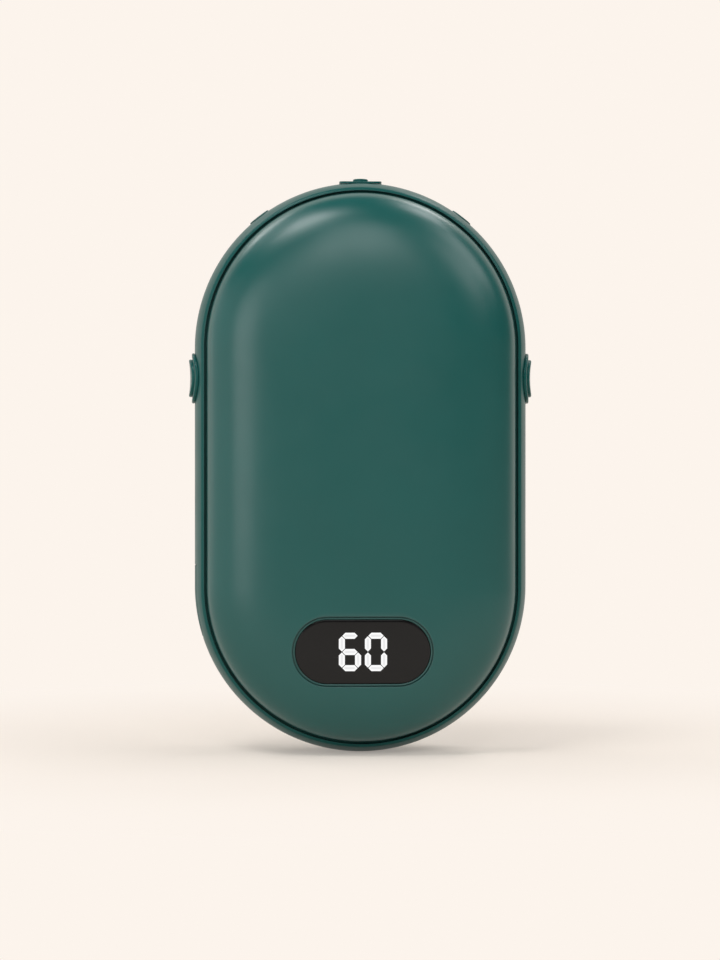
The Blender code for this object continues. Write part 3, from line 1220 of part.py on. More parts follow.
def make_chassis():
    """The moulded tray: battery well, board bay with posts, screw bosses and switch pockets."""
    outline = [(CHASSIS_INSET, -CHASSIS_EDGE), (CHASSIS_INSET, CHASSIS_EDGE)]
    mesh = swept_mesh("inner_chassis", outline, steps=INNER_END_STEPS, closed=False)
    chassis = add_part("inner_chassis", mesh, CHASSIS_GREY, BODY_MIDDLE)
    for name, angle in (("left", -SHOULDER_ANGLE), ("right", SHOULDER_ANGLE)):
        start = -BAND_WALL - FRAME_BOSS_REACH - CLEARANCE
        boss = rod_mesh("boss", SCREW_BOSS_RADIUS, start - CHASSIS_BOSS_LENGTH, start)
        combine(chassis, "UNION", add_cutter(f"{name}_chassis_boss", boss, *station(angle)))
    well_height = WELL_TOP - WELL_BOTTOM
    outline = rounded_outline(WELL_WIDTH, well_height, WELL_CORNER)
    well = sheet_mesh("battery_well", [outline], OVERRUN)
    well_cut = add_cutter("battery_well", well, (0, 0, (WELL_TOP + WELL_BOTTOM) / 2), FACING_Y)
    bay_top = BOARD_TOP + CLEARANCE
    bay_depth = CHASSIS_FLOOR_FRONT + OVERRUN
    bay = block_mesh("board_bay", BODY_WIDTH, bay_depth, bay_top)
    bay_cut = add_cutter("board_bay", bay, (0, CHASSIS_FLOOR_FRONT - bay_depth / 2, bay_top / 2))
    tab_top = PORT_HEIGHT + BOARD_TAB_HEIGHT / 2 + CLEARANCE
    tab_bay = block_mesh("tab_bay", SOCKET_LENGTH, bay_depth, tab_top)
    tab_place = (
        PORT_MOUTH + SOCKET_LENGTH / 2 + CLEARANCE,
        CHASSIS_FLOOR_FRONT - bay_depth / 2, tab_top / 2,
    )
    combine(chassis, "DIFFERENCE", well_cut, bay_cut, add_cutter("tab_bay", tab_bay, tab_place))
    for name, side in (("left", LEFT), ("right", RIGHT)):
        place = (side * BOARD_SCREW_SPREAD, 0, BOARD_SCREW_HEIGHT)
        post = rod_mesh("post", SCREW_BOSS_RADIUS, -CHASSIS_EDGE + CHASSIS_FLOOR / 2,
                        BOARD_REAR - CLEARANCE)
        combine(chassis, "UNION", add_cutter(f"{name}_board_post", post, place, FACING_Y))
        pilot = rod_mesh("pilot", SCREW_RADIUS + CLEARANCE, -CHASSIS_EDGE + CHASSIS_FLOOR / 2,
                         OVERRUN)
        combine(chassis, "DIFFERENCE", add_cutter(f"{name}_board_pilot", pilot, place, FACING_Y))
    for name, angle in (("left", -SHOULDER_ANGLE), ("right", SHOULDER_ANGLE)):
        pilot_end = -SCREW_SEAT + CLEARANCE - FRAME_SCREW_LENGTH - CLEARANCE
        pilot = rod_mesh("pilot", SCREW_RADIUS + CLEARANCE, pilot_end, OVERRUN)
        combine(chassis, "DIFFERENCE", add_cutter(f"{name}_frame_pilot", pilot, *station(angle)))
    for name, angle, height in (
        ("left_key", -SIDE_ANGLE, SIDE_KEY_HEIGHT),
        ("right_key", SIDE_ANGLE, SIDE_KEY_HEIGHT),
        ("power_key", 0.0, TOP_CENTRE),
    ):
        place, turn = station(angle, height)
        depth = KEY_BOARD_END + CLEARANCE
        pocket = block_mesh("pocket", KEY_BOARD_LENGTH + 2 * CLEARANCE, OVERRUN, depth)
        pocket_place = Vector(place) - outward(angle) * depth / 2
        combine(chassis, "DIFFERENCE", add_cutter(f"{name}_pocket", pocket, pocket_place, turn))
    make_chassis_cuts(chassis)
    return chassis


def make_chassis_cuts(chassis):
    """Lightening pocket above the well and the ways for the leads and the rear heater tail."""
    pocket_bottom = WELL_TOP + POCKET_MARGIN
    pocket_top = BODY_HEIGHT - KEY_BOARD_END - POCKET_MARGIN
    pocket_depth = CHASSIS_DEPTH * CHASSIS_POCKET_SHARE
    pocket = block_mesh("light_pocket", 2 * POCKET_HALF_WIDTH, pocket_depth,
                        pocket_top - pocket_bottom)
    pocket_place = (0, -CHASSIS_EDGE + pocket_depth / 2 - SNUG, (pocket_top + pocket_bottom) / 2)
    across = BATTERY_SOCKET_PLACE[0]
    lead_slot = block_mesh("lead_slot", LEAD_SLOT_WIDTH, LEAD_SLOT_DEPTH, WELL_BOTTOM)
    lead_place = (across, lead_depth(), WELL_BOTTOM)
    tail_slot = block_mesh("tail_slot", TAIL_SLOT_WIDTH, OVERRUN, TAIL_SLOT_HEIGHT)
    tail_place = (0, CHASSIS_EDGE, BOARD_TOP - TAIL_SLOT_HEIGHT / 2 - CLEARANCE)
    wire_slot = block_mesh("wire_slot", LEAD_SLOT_WIDTH, OVERRUN, TAIL_SLOT_HEIGHT)
    wire_place = (power_lead_exit()[0], CHASSIS_EDGE, BOARD_TOP - TAIL_SLOT_HEIGHT / 2 - CLEARANCE)
    combine(
        chassis, "DIFFERENCE",
        add_cutter("light_pocket", pocket, pocket_place),
        add_cutter("lead_slot", lead_slot, lead_place),
        add_cutter("tail_slot", tail_slot, tail_place),
        add_cutter("wire_slot", wire_slot, wire_place),
    )


def lead_depth():
    """Depth at which the battery leads leave their socket."""
    return -BOARD_REAR + CLEARANCE + BATTERY_SOCKET_DEPTH / 2


def power_lead_exit():
    """Where the power key lead comes through the chassis floor to the main board."""
    return (BOARD_SCREW_SPREAD + LEAD_SLOT_WIDTH / 2, 0, BOARD_TOP - TAIL_SLOT_HEIGHT / 2)


# Battery

def make_battery():
    """Two pouch cells back to back with a pad between, their board and two leads."""
    body_height = CELL_TOP - CELL_BOTTOM
    for name, side in (("front_cell", FRONT), ("rear_cell", REAR)):
        outline = rounded_outline(CELL_WIDTH, body_height, WELL_CORNER - CLEARANCE)
        mesh = sheet_mesh(name, [outline], CELL_THICKNESS)
        middle = side * (CELL_INNER + CELL_OUTER) / 2
        cell = add_part(name, mesh, CELL_SILVER, (0, middle, (CELL_TOP + CELL_BOTTOM) / 2),
                        FACING_Y)
        edge = cell.modifiers.new("pouch_edges", "BEVEL")
        edge.width = CELL_EDGE_ROUND
        edge.segments = FILLET_STEPS
        edge.limit_method = "ANGLE"
        edge.angle_limit = POUCH_EDGE_ANGLE
        terrace = block_mesh("terrace", CELL_TERRACE_WIDTH, CELL_TERRACE_THICKNESS,
                             CELL_TERRACE_HEIGHT + CELL_EDGE_ROUND)
        terrace_place = (0, middle, TERRACE_BOTTOM + (CELL_TERRACE_HEIGHT + CELL_EDGE_ROUND) / 2)
        combine(cell, "UNION", add_cutter(f"{name}_terrace", terrace, terrace_place))
    pad_height = body_height - 2 * CELL_PAD_MARGIN
    pad = block_mesh("cell_pad", CELL_WIDTH - 2 * CELL_PAD_MARGIN, CELL_PAD_THICKNESS, pad_height)
    add_part("cell_pad", pad, PAD_GREY, (0, 0, (CELL_TOP + CELL_BOTTOM) / 2))
    board = block_mesh("protection_board", PROTECTION_BOARD_WIDTH, PROTECTION_BOARD_DEPTH,
                       PROTECTION_BOARD_THICKNESS)
    add_part("protection_board", board, BOARD_GREEN,
             (0, 0, PROTECTION_BOARD_BOTTOM + PROTECTION_BOARD_THICKNESS / 2))
    across, up = BATTERY_SOCKET_PLACE
    start = up + BATTERY_SOCKET_HEIGHT / 2 - BATTERY_SOCKET_MOUTH + CLEARANCE
    end = PROTECTION_BOARD_BOTTOM - CLEARANCE
    for name, side, material in (("red", LEFT, LEAD_RED), ("black", RIGHT, LEAD_BLACK)):
        place = across + side * LEAD_SPACING / 2
        bend = place + side * LEAD_RADIUS / 2
        points = smooth_path([
            Vector((place, lead_depth(), start)),
            Vector((bend, lead_depth(), (2 * start + end) / 3)),
            Vector((bend, lead_depth(), (start + 2 * end) / 3)),
            Vector((place, lead_depth(), end)),
        ], FILLET_STEPS)
        add_part(f"battery_lead_{name}", tube_mesh(name, points, LEAD_RADIUS), material)


# Heat stack

def spreader_profile():
    """Section of a heat spreader that follows the inside of the dome."""
    span = DOME_END - SPREADER_INSET
    insets = [SPREADER_INSET + span * step / SPREADER_STEPS for step in range(SPREADER_STEPS + 1)]
    outer = [
        (inset, dome_depth(inset, RIM_INSET, INNER_DOME_BASE, SHELL_BACK) - SPREADER_GAP)
        for inset in insets
    ]
    return outer[::-1] + [(inset, depth - SPREADER_THICKNESS) for inset, depth in outer]


def make_heat_stack():
    """Behind each shell: heat spreader, heater film with its tail, foam and thermistor."""
    foam_inner = CELL_OUTER + CLEARANCE
    foam_outer = foam_inner + FOAM_THICKNESS
    for name, side in (("front", FRONT), ("rear", REAR)):
        mesh = swept_mesh("spreader", turned_to(side, spreader_profile()),
                          steps=INNER_END_STEPS, closed=False)
        spreader = add_part(f"{name}_heat_spreader", mesh, SPREADER_ALUMINIUM, BODY_MIDDLE)
        if side == FRONT:
            cut = lower_block("spreader_lower_cut", FRONT_SPREADER_BOTTOM)
            combine(spreader, "DIFFERENCE", cut)
        for piece, inset, near, far, bottom, material in (
            ("heater_film", FILM_INSET, FILM_BACK, FILM_FRONT, FILM_BOTTOM, FILM_AMBER),
            ("thermal_foam", FOAM_INSET, foam_inner, foam_outer, FOAM_BOTTOM, FOAM_WHITE),
        ):
            section = [(inset, side * far), (inset, side * near)]
            mesh = swept_mesh(f"{name}_{piece}", section, steps=INNER_END_STEPS, closed=False)
            sheet = add_part(f"{name}_{piece}", mesh, material, BODY_MIDDLE)
            combine(sheet, "DIFFERENCE", lower_block(f"{name}_{piece}_cut", bottom))
        bead_depth = side * (FILM_BACK - CLEARANCE - THERMISTOR_RADIUS)
        half = THERMISTOR_LENGTH / 2
        turned_part(
            f"{name}_thermistor",
            [(0, half), *rounded_edge(THERMISTOR_RADIUS, half, THERMISTOR_RADIUS / 2),
             *[(radius, -height) for radius, height in
               reversed(rounded_edge(THERMISTOR_RADIUS, half, THERMISTOR_RADIUS / 2))],
             (0, -half)],
            BEAD_BROWN, (THERMISTOR_ACROSS, bead_depth, THERMISTOR_HEIGHT), (0, 0, 0), PIN_STEPS,
        )
    make_heater_tails()


def make_heater_tails():
    """The flat tails that join the heater films to the main board."""
    top = FILM_BOTTOM + TAIL_WIDTH / 2
    low = BOARD_TOP - TAIL_SLOT_HEIGHT / 2
    film_side = FILM_BACK - CLEARANCE
    front_end = -BOARD_FRONT - CLEARANCE
    rear_end = -BOARD_REAR + CLEARANCE
    for name, start, end in (
        ("front_heater_tail", -film_side, front_end),
        ("rear_heater_tail", film_side, rear_end),
    ):
        fall = start + (end - start) / 4
        path = [(start, top), (start + (fall - start) / 4, low + (top - low) / 3),
                (fall, low), ((fall + end) / 2, low), (end, low)]
        mesh = ribbon_mesh(name, path, TAIL_WIDTH, TAIL_THICKNESS, TAIL_STEPS)
        add_part(name, mesh, FILM_AMBER)


# Key leads

def make_key_leads():
    """Flat leads from the side key boards down the band, and a round one from the power key."""
    top = SIDE_KEY_HEIGHT - KEY_BOARD_LENGTH / 2 - CLEARANCE
    for name, side in (("left", LEFT), ("right", RIGHT)):
        bottom = PORT_HEIGHT + BOARD_TAB_HEIGHT / 2 + CLEARANCE if side == LEFT else BOARD_TOP
        lead = block_mesh(f"{name}_key_lead", KEY_LEAD_THICKNESS, KEY_LEAD_WIDTH, top - bottom)
        across = side * (END_RADIUS - KEY_LEAD_INSET)
        add_part(f"{name}_key_lead", lead, LEAD_GREY, (across, 0, (top + bottom) / 2))
    behind = CHASSIS_EDGE + CLEARANCE + POWER_LEAD_RADIUS
    inset = CHASSIS_INSET + CLEARANCE + POWER_LEAD_RADIUS
    bend_radius = END_RADIUS - inset
    exit_across, _, exit_height = power_lead_exit()
    points = []
    for share in POWER_LEAD_ARC_SHARES:
        angle = share * math.pi / 2
        points.append(Vector((
            bend_radius * math.sin(angle), behind, TOP_CENTRE + bend_radius * math.cos(angle)
        )))
    points += [
        Vector((bend_radius, behind, MIDDLE_HEIGHT)),
        Vector((bend_radius, behind, WELL_BOTTOM + KEY_LEAD_WIDTH)),
        Vector(((bend_radius + exit_across) / 2, behind, BOARD_TOP - CLEARANCE)),
        Vector((exit_across, CHASSIS_EDGE, exit_height)),
        Vector((exit_across, 0, exit_height)),
        Vector((exit_across, -BOARD_REAR + CLEARANCE, exit_height)),
    ]
    points = smooth_path(points, POWER_LEAD_STEPS)
    add_part("power_key_lead", tube_mesh("power_key_lead", points, POWER_LEAD_RADIUS), LEAD_GREY)


# The whole warmer

envelope = make_belt_envelope()
make_band()
make_shells(relief_cutters())
make_lens()
make_gaskets()
make_side_key("left_key", LEFT, envelope)
make_side_key("right_key", RIGHT, envelope)
make_power_key(envelope)
make_shoulders()
make_port_cover()
make_socket()
make_display()
make_main_board()
make_chassis()
make_battery()
make_heat_stack()
make_key_leads()
bpy.context.view_layer.update()
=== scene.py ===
import math

import bmesh
import bpy
from mathutils import Matrix, Vector


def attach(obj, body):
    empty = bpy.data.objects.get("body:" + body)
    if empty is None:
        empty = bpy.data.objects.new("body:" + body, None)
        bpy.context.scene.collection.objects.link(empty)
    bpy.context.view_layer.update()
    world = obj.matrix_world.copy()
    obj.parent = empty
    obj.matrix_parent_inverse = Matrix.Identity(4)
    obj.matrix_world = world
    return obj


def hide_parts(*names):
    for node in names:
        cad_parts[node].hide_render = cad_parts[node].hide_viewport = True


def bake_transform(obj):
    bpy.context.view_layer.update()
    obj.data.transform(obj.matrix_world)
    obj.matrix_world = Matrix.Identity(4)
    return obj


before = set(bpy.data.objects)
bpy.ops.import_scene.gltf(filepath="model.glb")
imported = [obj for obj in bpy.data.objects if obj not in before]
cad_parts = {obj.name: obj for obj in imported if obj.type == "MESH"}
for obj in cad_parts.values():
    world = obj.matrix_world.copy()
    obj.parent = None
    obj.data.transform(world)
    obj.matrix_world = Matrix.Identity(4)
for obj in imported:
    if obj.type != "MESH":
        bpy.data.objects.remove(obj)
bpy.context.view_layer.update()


# View and studio
# The camera stands half a metre in front of the warmer, a little to its left and level
# with its middle. The table is one cream sheet that bends up into the backdrop.

VIEW_DISTANCE = 0.5
VIEW_TURN = math.radians(-1.9)
VIEW_RISE = math.radians(0.3)
VIEW_LEVEL = 0.04919
VIEW_ASIDE = -0.00007
VIEW_FOCAL = 103.3
SHEET_CREAM = (0.975, 0.905, 0.840, 1.0)
SHEET_WIDTH = 3.2
SHEET_FRONT = -1.1
SHEET_BACK = 0.16
SHEET_BEND = 0.55
SHEET_TOP = 1.6
SHEET_STEPS = 48
SHADOW_START = 0.02
SHADOW_END = 0.14
SHADOW_BACK = 0.02
SHADOW_LIFT = 0.30
SHEET_SHADE = (0.779, 0.705, 0.632, 1.0)
AIR_COLOUR = (0.97, 0.985, 1.0, 1.0)
AIR_GLOW = 0.10
LIT_LEVEL = 0.07
SOFTBOXES = (
    ("left_softbox", -37, 8, 0.8, 0.32, 0.34, 3.5),
    ("left_side_softbox", -72, 10, 0.8, 0.50, 0.55, 0.95),
    ("top_softbox", 1, 31, 0.8, 0.25, 0.34, 3.9),
    ("right_softbox", 42, 29, 0.8, 0.25, 0.28, 3.2),
    ("right_side_softbox", 68, 40, 0.8, 0.35, 0.38, 3.3),
    ("upper_left_softbox", -60, 60, 0.7, 0.60, 0.30, 1.8),
    ("left_crown_softbox", -38, 58, 0.7, 0.24, 0.20, 8.8),
    ("right_crown_softbox", 104, 64, 0.7, 0.24, 0.18, 7.4),
    ("rear_left_softbox", -103, 6, 0.9, 0.45, 0.70, 1.0),
    ("rear_high_left_softbox", -124, 48, 0.7, 0.24, 0.20, 5.2),
    ("rear_high_right_softbox", 146, 50, 0.7, 0.16, 0.18, 6.2),
    ("fill_softbox", -8, 18, 1.2, 0.64, 0.50, 0.9),
)

scene = bpy.context.scene
scene.view_settings.view_transform = "Standard"

lens = bpy.data.cameras.new("photo_view")
lens.lens = VIEW_FOCAL
lens.clip_start = 0.01
camera = bpy.data.objects.new("photo_view", lens)
back = Vector((
    math.sin(VIEW_TURN) * math.cos(VIEW_RISE),
    -math.cos(VIEW_TURN) * math.cos(VIEW_RISE),
    math.sin(VIEW_RISE),
))
camera.location = Vector((VIEW_ASIDE, 0, VIEW_LEVEL)) + back * VIEW_DISTANCE
camera.rotation_euler = (-back).to_track_quat("-Z", "Y").to_euler()
scene.collection.objects.link(camera)
scene.camera = camera

sheet_line = [(SHEET_FRONT, 0.0)]
for step in range(SHEET_STEPS + 1):
    bend = math.pi / 2 * step / SHEET_STEPS
    sheet_line.append((
        SHEET_BACK + SHEET_BEND * math.sin(bend), SHEET_BEND * (1 - math.cos(bend))
    ))
sheet_line.append((SHEET_BACK + SHEET_BEND, SHEET_TOP))
sheet_mesh = bpy.data.meshes.new("table_sheet")
sheet_mesh.from_pydata(
    [(side * SHEET_WIDTH / 2, depth, level) for depth, level in sheet_line for side in (-1, 1)],
    [], [(edge, edge + 1, edge + 3, edge + 2) for edge in range(0, 2 * len(sheet_line) - 2, 2)],
)
sheet_mesh.shade_smooth()
sheet = bpy.data.objects.new("table_sheet", sheet_mesh)
scene.collection.objects.link(sheet)


def add_node(tree, kind, inputs=None, **settings):
    """A node in a tree with its settings, and its inputs set or linked by name or number."""
    node = tree.nodes.new(kind)
    for setting, value in settings.items():
        setattr(node, setting, value)
    for socket, value in (inputs or {}).items():
        if isinstance(value, bpy.types.NodeSocket):
            tree.links.new(value, node.inputs[socket])
        else:
            node.inputs[socket].default_value = value
    return node


def figure(tree, operation, *values):
    """One step of arithmetic in a tree, on sockets or numbers."""
    return add_node(
        tree, "ShaderNodeMath", dict(enumerate(values)), operation=operation
    ).outputs[0]


def spread(tree, value, low, high, start=0.0, end=1.0, **settings):
    """A value between start and end brought to the range from low to high."""
    return add_node(tree, "ShaderNodeMapRange", {
        "Value": value, "From Min": start, "From Max": end, "To Min": low, "To Max": high,
    }, **settings).outputs["Result"]


def new_finish(name, shine=0.5, metal=0.0):
    """An empty material: itself, its tree, its shader and the place on the object."""
    material = bpy.data.materials.new(name)
    material.use_nodes = True
    tree = material.node_tree
    shader = tree.nodes["Principled BSDF"]
    shader.inputs["Specular IOR Level"].default_value = shine
    shader.inputs["Metallic"].default_value = metal
    return material, tree, shader, add_node(tree, "ShaderNodeTexCoord").outputs["Object"]


def seen_by(tree, *kinds):
    """1 on light paths of the given kinds and 0 on others."""
    rays = add_node(tree, "ShaderNodeLightPath").outputs
    seen = 0.0
    for kind in kinds:
        seen = figure(tree, "MAXIMUM", seen, rays[f"Is {kind} Ray"])
    return seen


def part_glow(tree, share, lit, glow, output):
    """Ends a tree with a lit shader that passes into a plain glow by a share."""
    mixed = add_node(tree, "ShaderNodeMixShader", {"Fac": share, 1: lit, 2: glow})
    tree.links.new(mixed.outputs["Shader"], tree.nodes[output].inputs["Surface"])


paper, tree, fibre, place = new_finish("cream_paper", shine=0.1)
fibre.inputs["Base Color"].default_value = SHEET_SHADE
fibre.inputs["Roughness"].default_value = 0.9
glow = add_node(tree, "ShaderNodeEmission", {"Color": SHEET_CREAM, "Strength": 1.0})
away = add_node(
    tree, "ShaderNodeVectorMath", {0: place, 1: (0, SHADOW_BACK, 0)}, operation="DISTANCE"
).outputs["Value"]
clear = spread(
    tree, away, SHADOW_LIFT, 1.0, SHADOW_START, SHADOW_END, interpolation_type="SMOOTHSTEP"
)
share = figure(tree, "MULTIPLY", seen_by(tree, "Camera", "Glossy", "Transmission"), clear)
part_glow(tree, share, fibre.outputs["BSDF"], glow.outputs["Emission"], "Material Output")
sheet_mesh.materials.append(paper)

world = bpy.data.worlds.new("studio_air")
world.use_nodes = True
tree = world.node_tree
air = tree.nodes["Background"]
air.inputs["Color"].default_value = AIR_COLOUR
air.inputs["Strength"].default_value = AIR_GLOW
pale = add_node(tree, "ShaderNodeBackground", {"Color": SHEET_CREAM})
part_glow(
    tree, seen_by(tree, "Camera", "Transmission"),
    air.outputs["Background"], pale.outputs["Background"], "World Output",
)
scene.world = world

for name, turn, rise, away, width, height, shine in SOFTBOXES:
    lamp = bpy.data.lights.new(name, "AREA")
    lamp.shape = "RECTANGLE"
    lamp.size = width
    lamp.size_y = height
    lamp.energy = shine * math.pi * width * height
    softbox = bpy.data.objects.new(name, lamp)
    turn, rise = math.radians(turn), math.radians(rise)
    way = Vector((
        math.sin(turn) * math.cos(rise), -math.cos(turn) * math.cos(rise), math.sin(rise)
    ))
    softbox.location = Vector((0, 0, LIT_LEVEL)) + way * away
    softbox.rotation_euler = (-way).to_track_quat("-Z", "Y").to_euler()
    scene.collection.objects.link(softbox)


# Mid frame
# The band between the shells: one ring moulded in glass-filled nylon, sprayed dark green,
# with a crowned face, a lip on each side and pockets for the keys, screws and port.

BODY_RADIUS = 0.030
LOWER_CENTRE = 0.030
UPPER_CENTRE = 0.073
BODY_MIDDLE = 0.0515
END_STEPS = 120
SIDE_STEPS = 28
WELD = 0.0000010
SMOOTH_BELOW = math.radians(32)
EDGE_FROM = math.radians(6)
EDGE_TO = math.radians(24)
BAND_EDGE = 0.0059
CROWN_RADIUS = 0.0129
CROWN_STEPS = 28
LIP_INSET = 0.0018
LIP_ROUND = 0.0009
LIP_STEPS = 8
SHELF_DEPTH = 0.0044
FLANGE_INSET = 0.0040
FLANGE_BACK = 0.0034
BAND_WALL = 0.0020
REACH = 0.0100
BAND_GREEN = (0.0025, 0.070, 0.0635)


def round_angles(steps, shift=0.0):
    """Angles evenly round a circle."""
    return [math.tau * (step + shift) / steps for step in range(steps)]


def stations_round(radius_steps=END_STEPS, side_steps=SIDE_STEPS):
    """Places round the body's outline: level on the spine, and the direction outwards."""
    found = []
    for centre, other, start in (
        (UPPER_CENTRE, LOWER_CENTRE, 0.0), (LOWER_CENTRE, UPPER_CENTRE, math.pi)
    ):
        for step in range(radius_steps):
            angle = start + math.pi * step / radius_steps
            found.append((centre, math.cos(angle), math.sin(angle)))
        across = math.cos(start + math.pi)
        for step in range(side_steps):
            found.append((centre + (other - centre) * step / side_steps, across, 0.0))
    return found


def ring_row(stations, inset, depth):
    """One loop of points round the body at an inset from its outline and a depth."""
    reach = BODY_RADIUS - inset
    return [Vector((reach * out, depth, level + reach * up)) for level, out, up in stations]


def skin_mesh(name, rows, closed=False):
    """A solid from loops of points laid side by side: a ring when closed, else capped."""
    form = bmesh.new()
    loops = [[form.verts.new(point) for point in row] for row in rows]
    pairs = list(zip(loops, loops[1:]))
    if closed:
        pairs.append((loops[-1], loops[0]))
    else:
        form.faces.new(loops[0])
        form.faces.new(reversed(loops[-1]))
    for near, far in pairs:
        for index in range(len(near)):
            after = (index + 1) % len(near)
            form.faces.new((near[index], near[after], far[after], far[index]))
    bmesh.ops.remove_doubles(form, verts=form.verts, dist=WELD)
    bmesh.ops.recalc_face_normals(form, faces=form.faces)
    mesh = bpy.data.meshes.new(name)
    form.to_mesh(mesh)
    form.free()
    return mesh


def mark_edges(mesh):
    """Stores how far each corner stands out, which is where paint rubs thin."""
    form = bmesh.new()
    form.from_mesh(mesh)
    worn = [
        max([edge.calc_face_angle_signed(0.0) for edge in corner.link_edges], default=0.0)
        for corner in form.verts
    ]
    form.free()
    marks = mesh.attributes.new("edge_wear", "FLOAT", "POINT")
    marks.data.foreach_set("value", [
        min(1.0, max(0.0, (angle - EDGE_FROM) / (EDGE_TO - EDGE_FROM))) for angle in worn
    ])


def make_piece(name, mesh, material):
    """Puts a finished mesh in the scene as a piece with smooth sides and its material."""
    mark_edges(mesh)
    mesh.shade_smooth()
    mesh.set_sharp_from_angle(angle=SMOOTH_BELOW)
    mesh.materials.clear()
    mesh.materials.append(material)
    piece = bpy.data.objects.new(name, mesh)
    scene.collection.objects.link(piece)
    return piece


def carve(mesh, added, removed):
    """Joins and cuts a mesh with lists of other meshes, and uses those up."""
    body = bpy.data.objects.new("blank", mesh)
    scene.collection.objects.link(body)
    for operation, tools in (("UNION", added), ("DIFFERENCE", removed)):
        if not tools:
            continue
        group = bpy.data.collections.new("tools")
        for tool in tools:
            group.objects.link(bpy.data.objects.new("tool", tool))
        cut = body.modifiers.new(operation, "BOOLEAN")
        cut.operation = operation
        cut.operand_type = "COLLECTION"
        cut.collection = group
        cut.solver = "EXACT"
    bpy.context.view_layer.update()
    depsgraph = bpy.context.evaluated_depsgraph_get()
    carved = bpy.data.meshes.new_from_object(body.evaluated_get(depsgraph))
    carved.name = mesh.name
    bpy.data.objects.remove(body)
    for tool in added + removed:
        bpy.data.meshes.remove(tool)
    return carved


def rod(place, outward, radius, near, far, sides=64):
    """A round bar along an outward direction, between two heights above a place."""
    form = bmesh.new()
    bmesh.ops.create_cone(
        form, cap_ends=True, segments=sides, radius1=radius, radius2=radius, depth=far - near
    )
    turn = Vector(outward).to_track_quat("Z", "Y").to_matrix().to_4x4()
    lift = Matrix.Translation((0, 0, (near + far) / 2))
    form.transform(Matrix.Translation(place) @ turn @ lift)
    mesh = bpy.data.meshes.new("rod")
    form.to_mesh(mesh)
    form.free()
    return mesh


def belt_inset(depth):
    """How far the crowned face of the band has fallen in at a depth."""
    return CROWN_RADIUS - math.sqrt(CROWN_RADIUS ** 2 - depth ** 2)


def shade(colour, share):
    """A colour made darker or lighter by a share."""
    return (*[min(1.0, part * share) for part in colour], 1.0)


def clouds(tree, place, size, detail=3.0):
    """A cloudy value whose patches are about a size across."""
    return add_node(
        tree, "ShaderNodeTexNoise", {"Vector": place, "Scale": 1 / size, "Detail": detail}
    ).outputs["Fac"]


def blended(tree, value, first, second):
    """One colour passing into another with a value."""
    return add_node(
        tree, "ShaderNodeMix", {"Factor": value, "A": first, "B": second}, data_type="RGBA"
    ).outputs["Result"]


CLOUD_SIZE = 0.014
SMEAR_SIZE = 0.006
WORN_LIFT = 0.12
TONE_STEP = 0.07
GLOSS_STEP = 0.05


def lay_finish(
    tree, shader, place, colour, dull, relief, rise, bite=1.0, smear=SMEAR_SIZE, detail=3.0
):
    """Links a colour, an uneven dullness and a relief that rises so far to a shader."""
    roughness = spread(tree, clouds(tree, place, smear, detail), *dull)
    bump = add_node(
        tree, "ShaderNodeBump", {"Strength": bite, "Distance": rise, "Height": relief}
    )
    tree.links.new(colour, shader.inputs["Base Color"])
    tree.links.new(roughness, shader.inputs["Roughness"])
    tree.links.new(bump.outputs["Normal"], shader.inputs["Normal"])


def moulding(name, colour, roughness, grain=0.00025, bite=0.12, worn=0.25, shine=0.5):
    """A painted or moulded plastic: fine grain, cloudy tone, and paler edges."""
    material, tree, shader, place = new_finish(name, shine)
    tone = blended(
        tree, clouds(tree, place, CLOUD_SIZE, 4.0),
        shade(colour, 1 - TONE_STEP), shade(colour, 1 + TONE_STEP),
    )
    edges = add_node(tree, "ShaderNodeAttribute", attribute_name="edge_wear")
    rubbed = (*[0.5 * part + WORN_LIFT for part in colour], 1.0)
    wear = blended(tree, spread(tree, edges.outputs["Fac"], 0.0, worn), tone, rubbed)
    dull = (roughness - GLOSS_STEP, roughness + GLOSS_STEP)
    relief = clouds(tree, place, grain, 2.0)
    lay_finish(tree, shader, place, wear, dull, relief, grain / 8, bite, detail=5.0)
    return material


stations = stations_round()
lip_centre = BAND_EDGE - LIP_ROUND
lip_reach = CROWN_RADIUS - LIP_ROUND
lip_inset = CROWN_RADIUS - math.sqrt(lip_reach ** 2 - lip_centre ** 2)
lip_sweep = math.asin(lip_centre / lip_reach)
half = []
lip_start = math.acos((lip_inset - LIP_INSET) / LIP_ROUND)
for step in range(LIP_STEPS + 1):
    angle = lip_start + (lip_sweep - lip_start) * step / LIP_STEPS
    half.append((
        lip_inset - LIP_ROUND * math.cos(angle), -lip_centre - LIP_ROUND * math.sin(angle)
    ))
crown_edge = -half[-1][1]
crown = []
for step in range(1, CROWN_STEPS):
    depth = crown_edge * (2 * step / CROWN_STEPS - 1)
    crown.append((belt_inset(depth), depth))
outer = half + crown + [(inset, -depth) for inset, depth in reversed(half)]
inner = [
    (LIP_INSET, SHELF_DEPTH), (FLANGE_INSET, SHELF_DEPTH),
    (FLANGE_INSET, FLANGE_BACK), (BAND_WALL, FLANGE_BACK),
]
profile = outer + inner + [(inset, -depth) for inset, depth in reversed(inner)]
band_mesh = skin_mesh("band", [ring_row(stations, *point) for point in profile], closed=True)

SIDE_KEY_LEVEL = 0.0676
KEY_HOLE_RADIUS = 0.00425
POWER_HOLE_RADIUS = 0.002275
SHOULDER_ANGLE = math.radians(37.6)
PLUG_HOLE_RADIUS = 0.00215
PLUG_HOLE_DEPTH = 0.0007
SCREW_SEAT_RADIUS = 0.00175
SCREW_SEAT_DEPTH = 0.0029
BOSS_RADIUS = 0.0022
BOSS_DEPTH = 0.0045
SCREW_WAY_RADIUS = 0.0011


def outward_at(angle):
    """The direction out of the round end at an angle from upright."""
    return Vector((math.sin(angle), 0, math.cos(angle)))


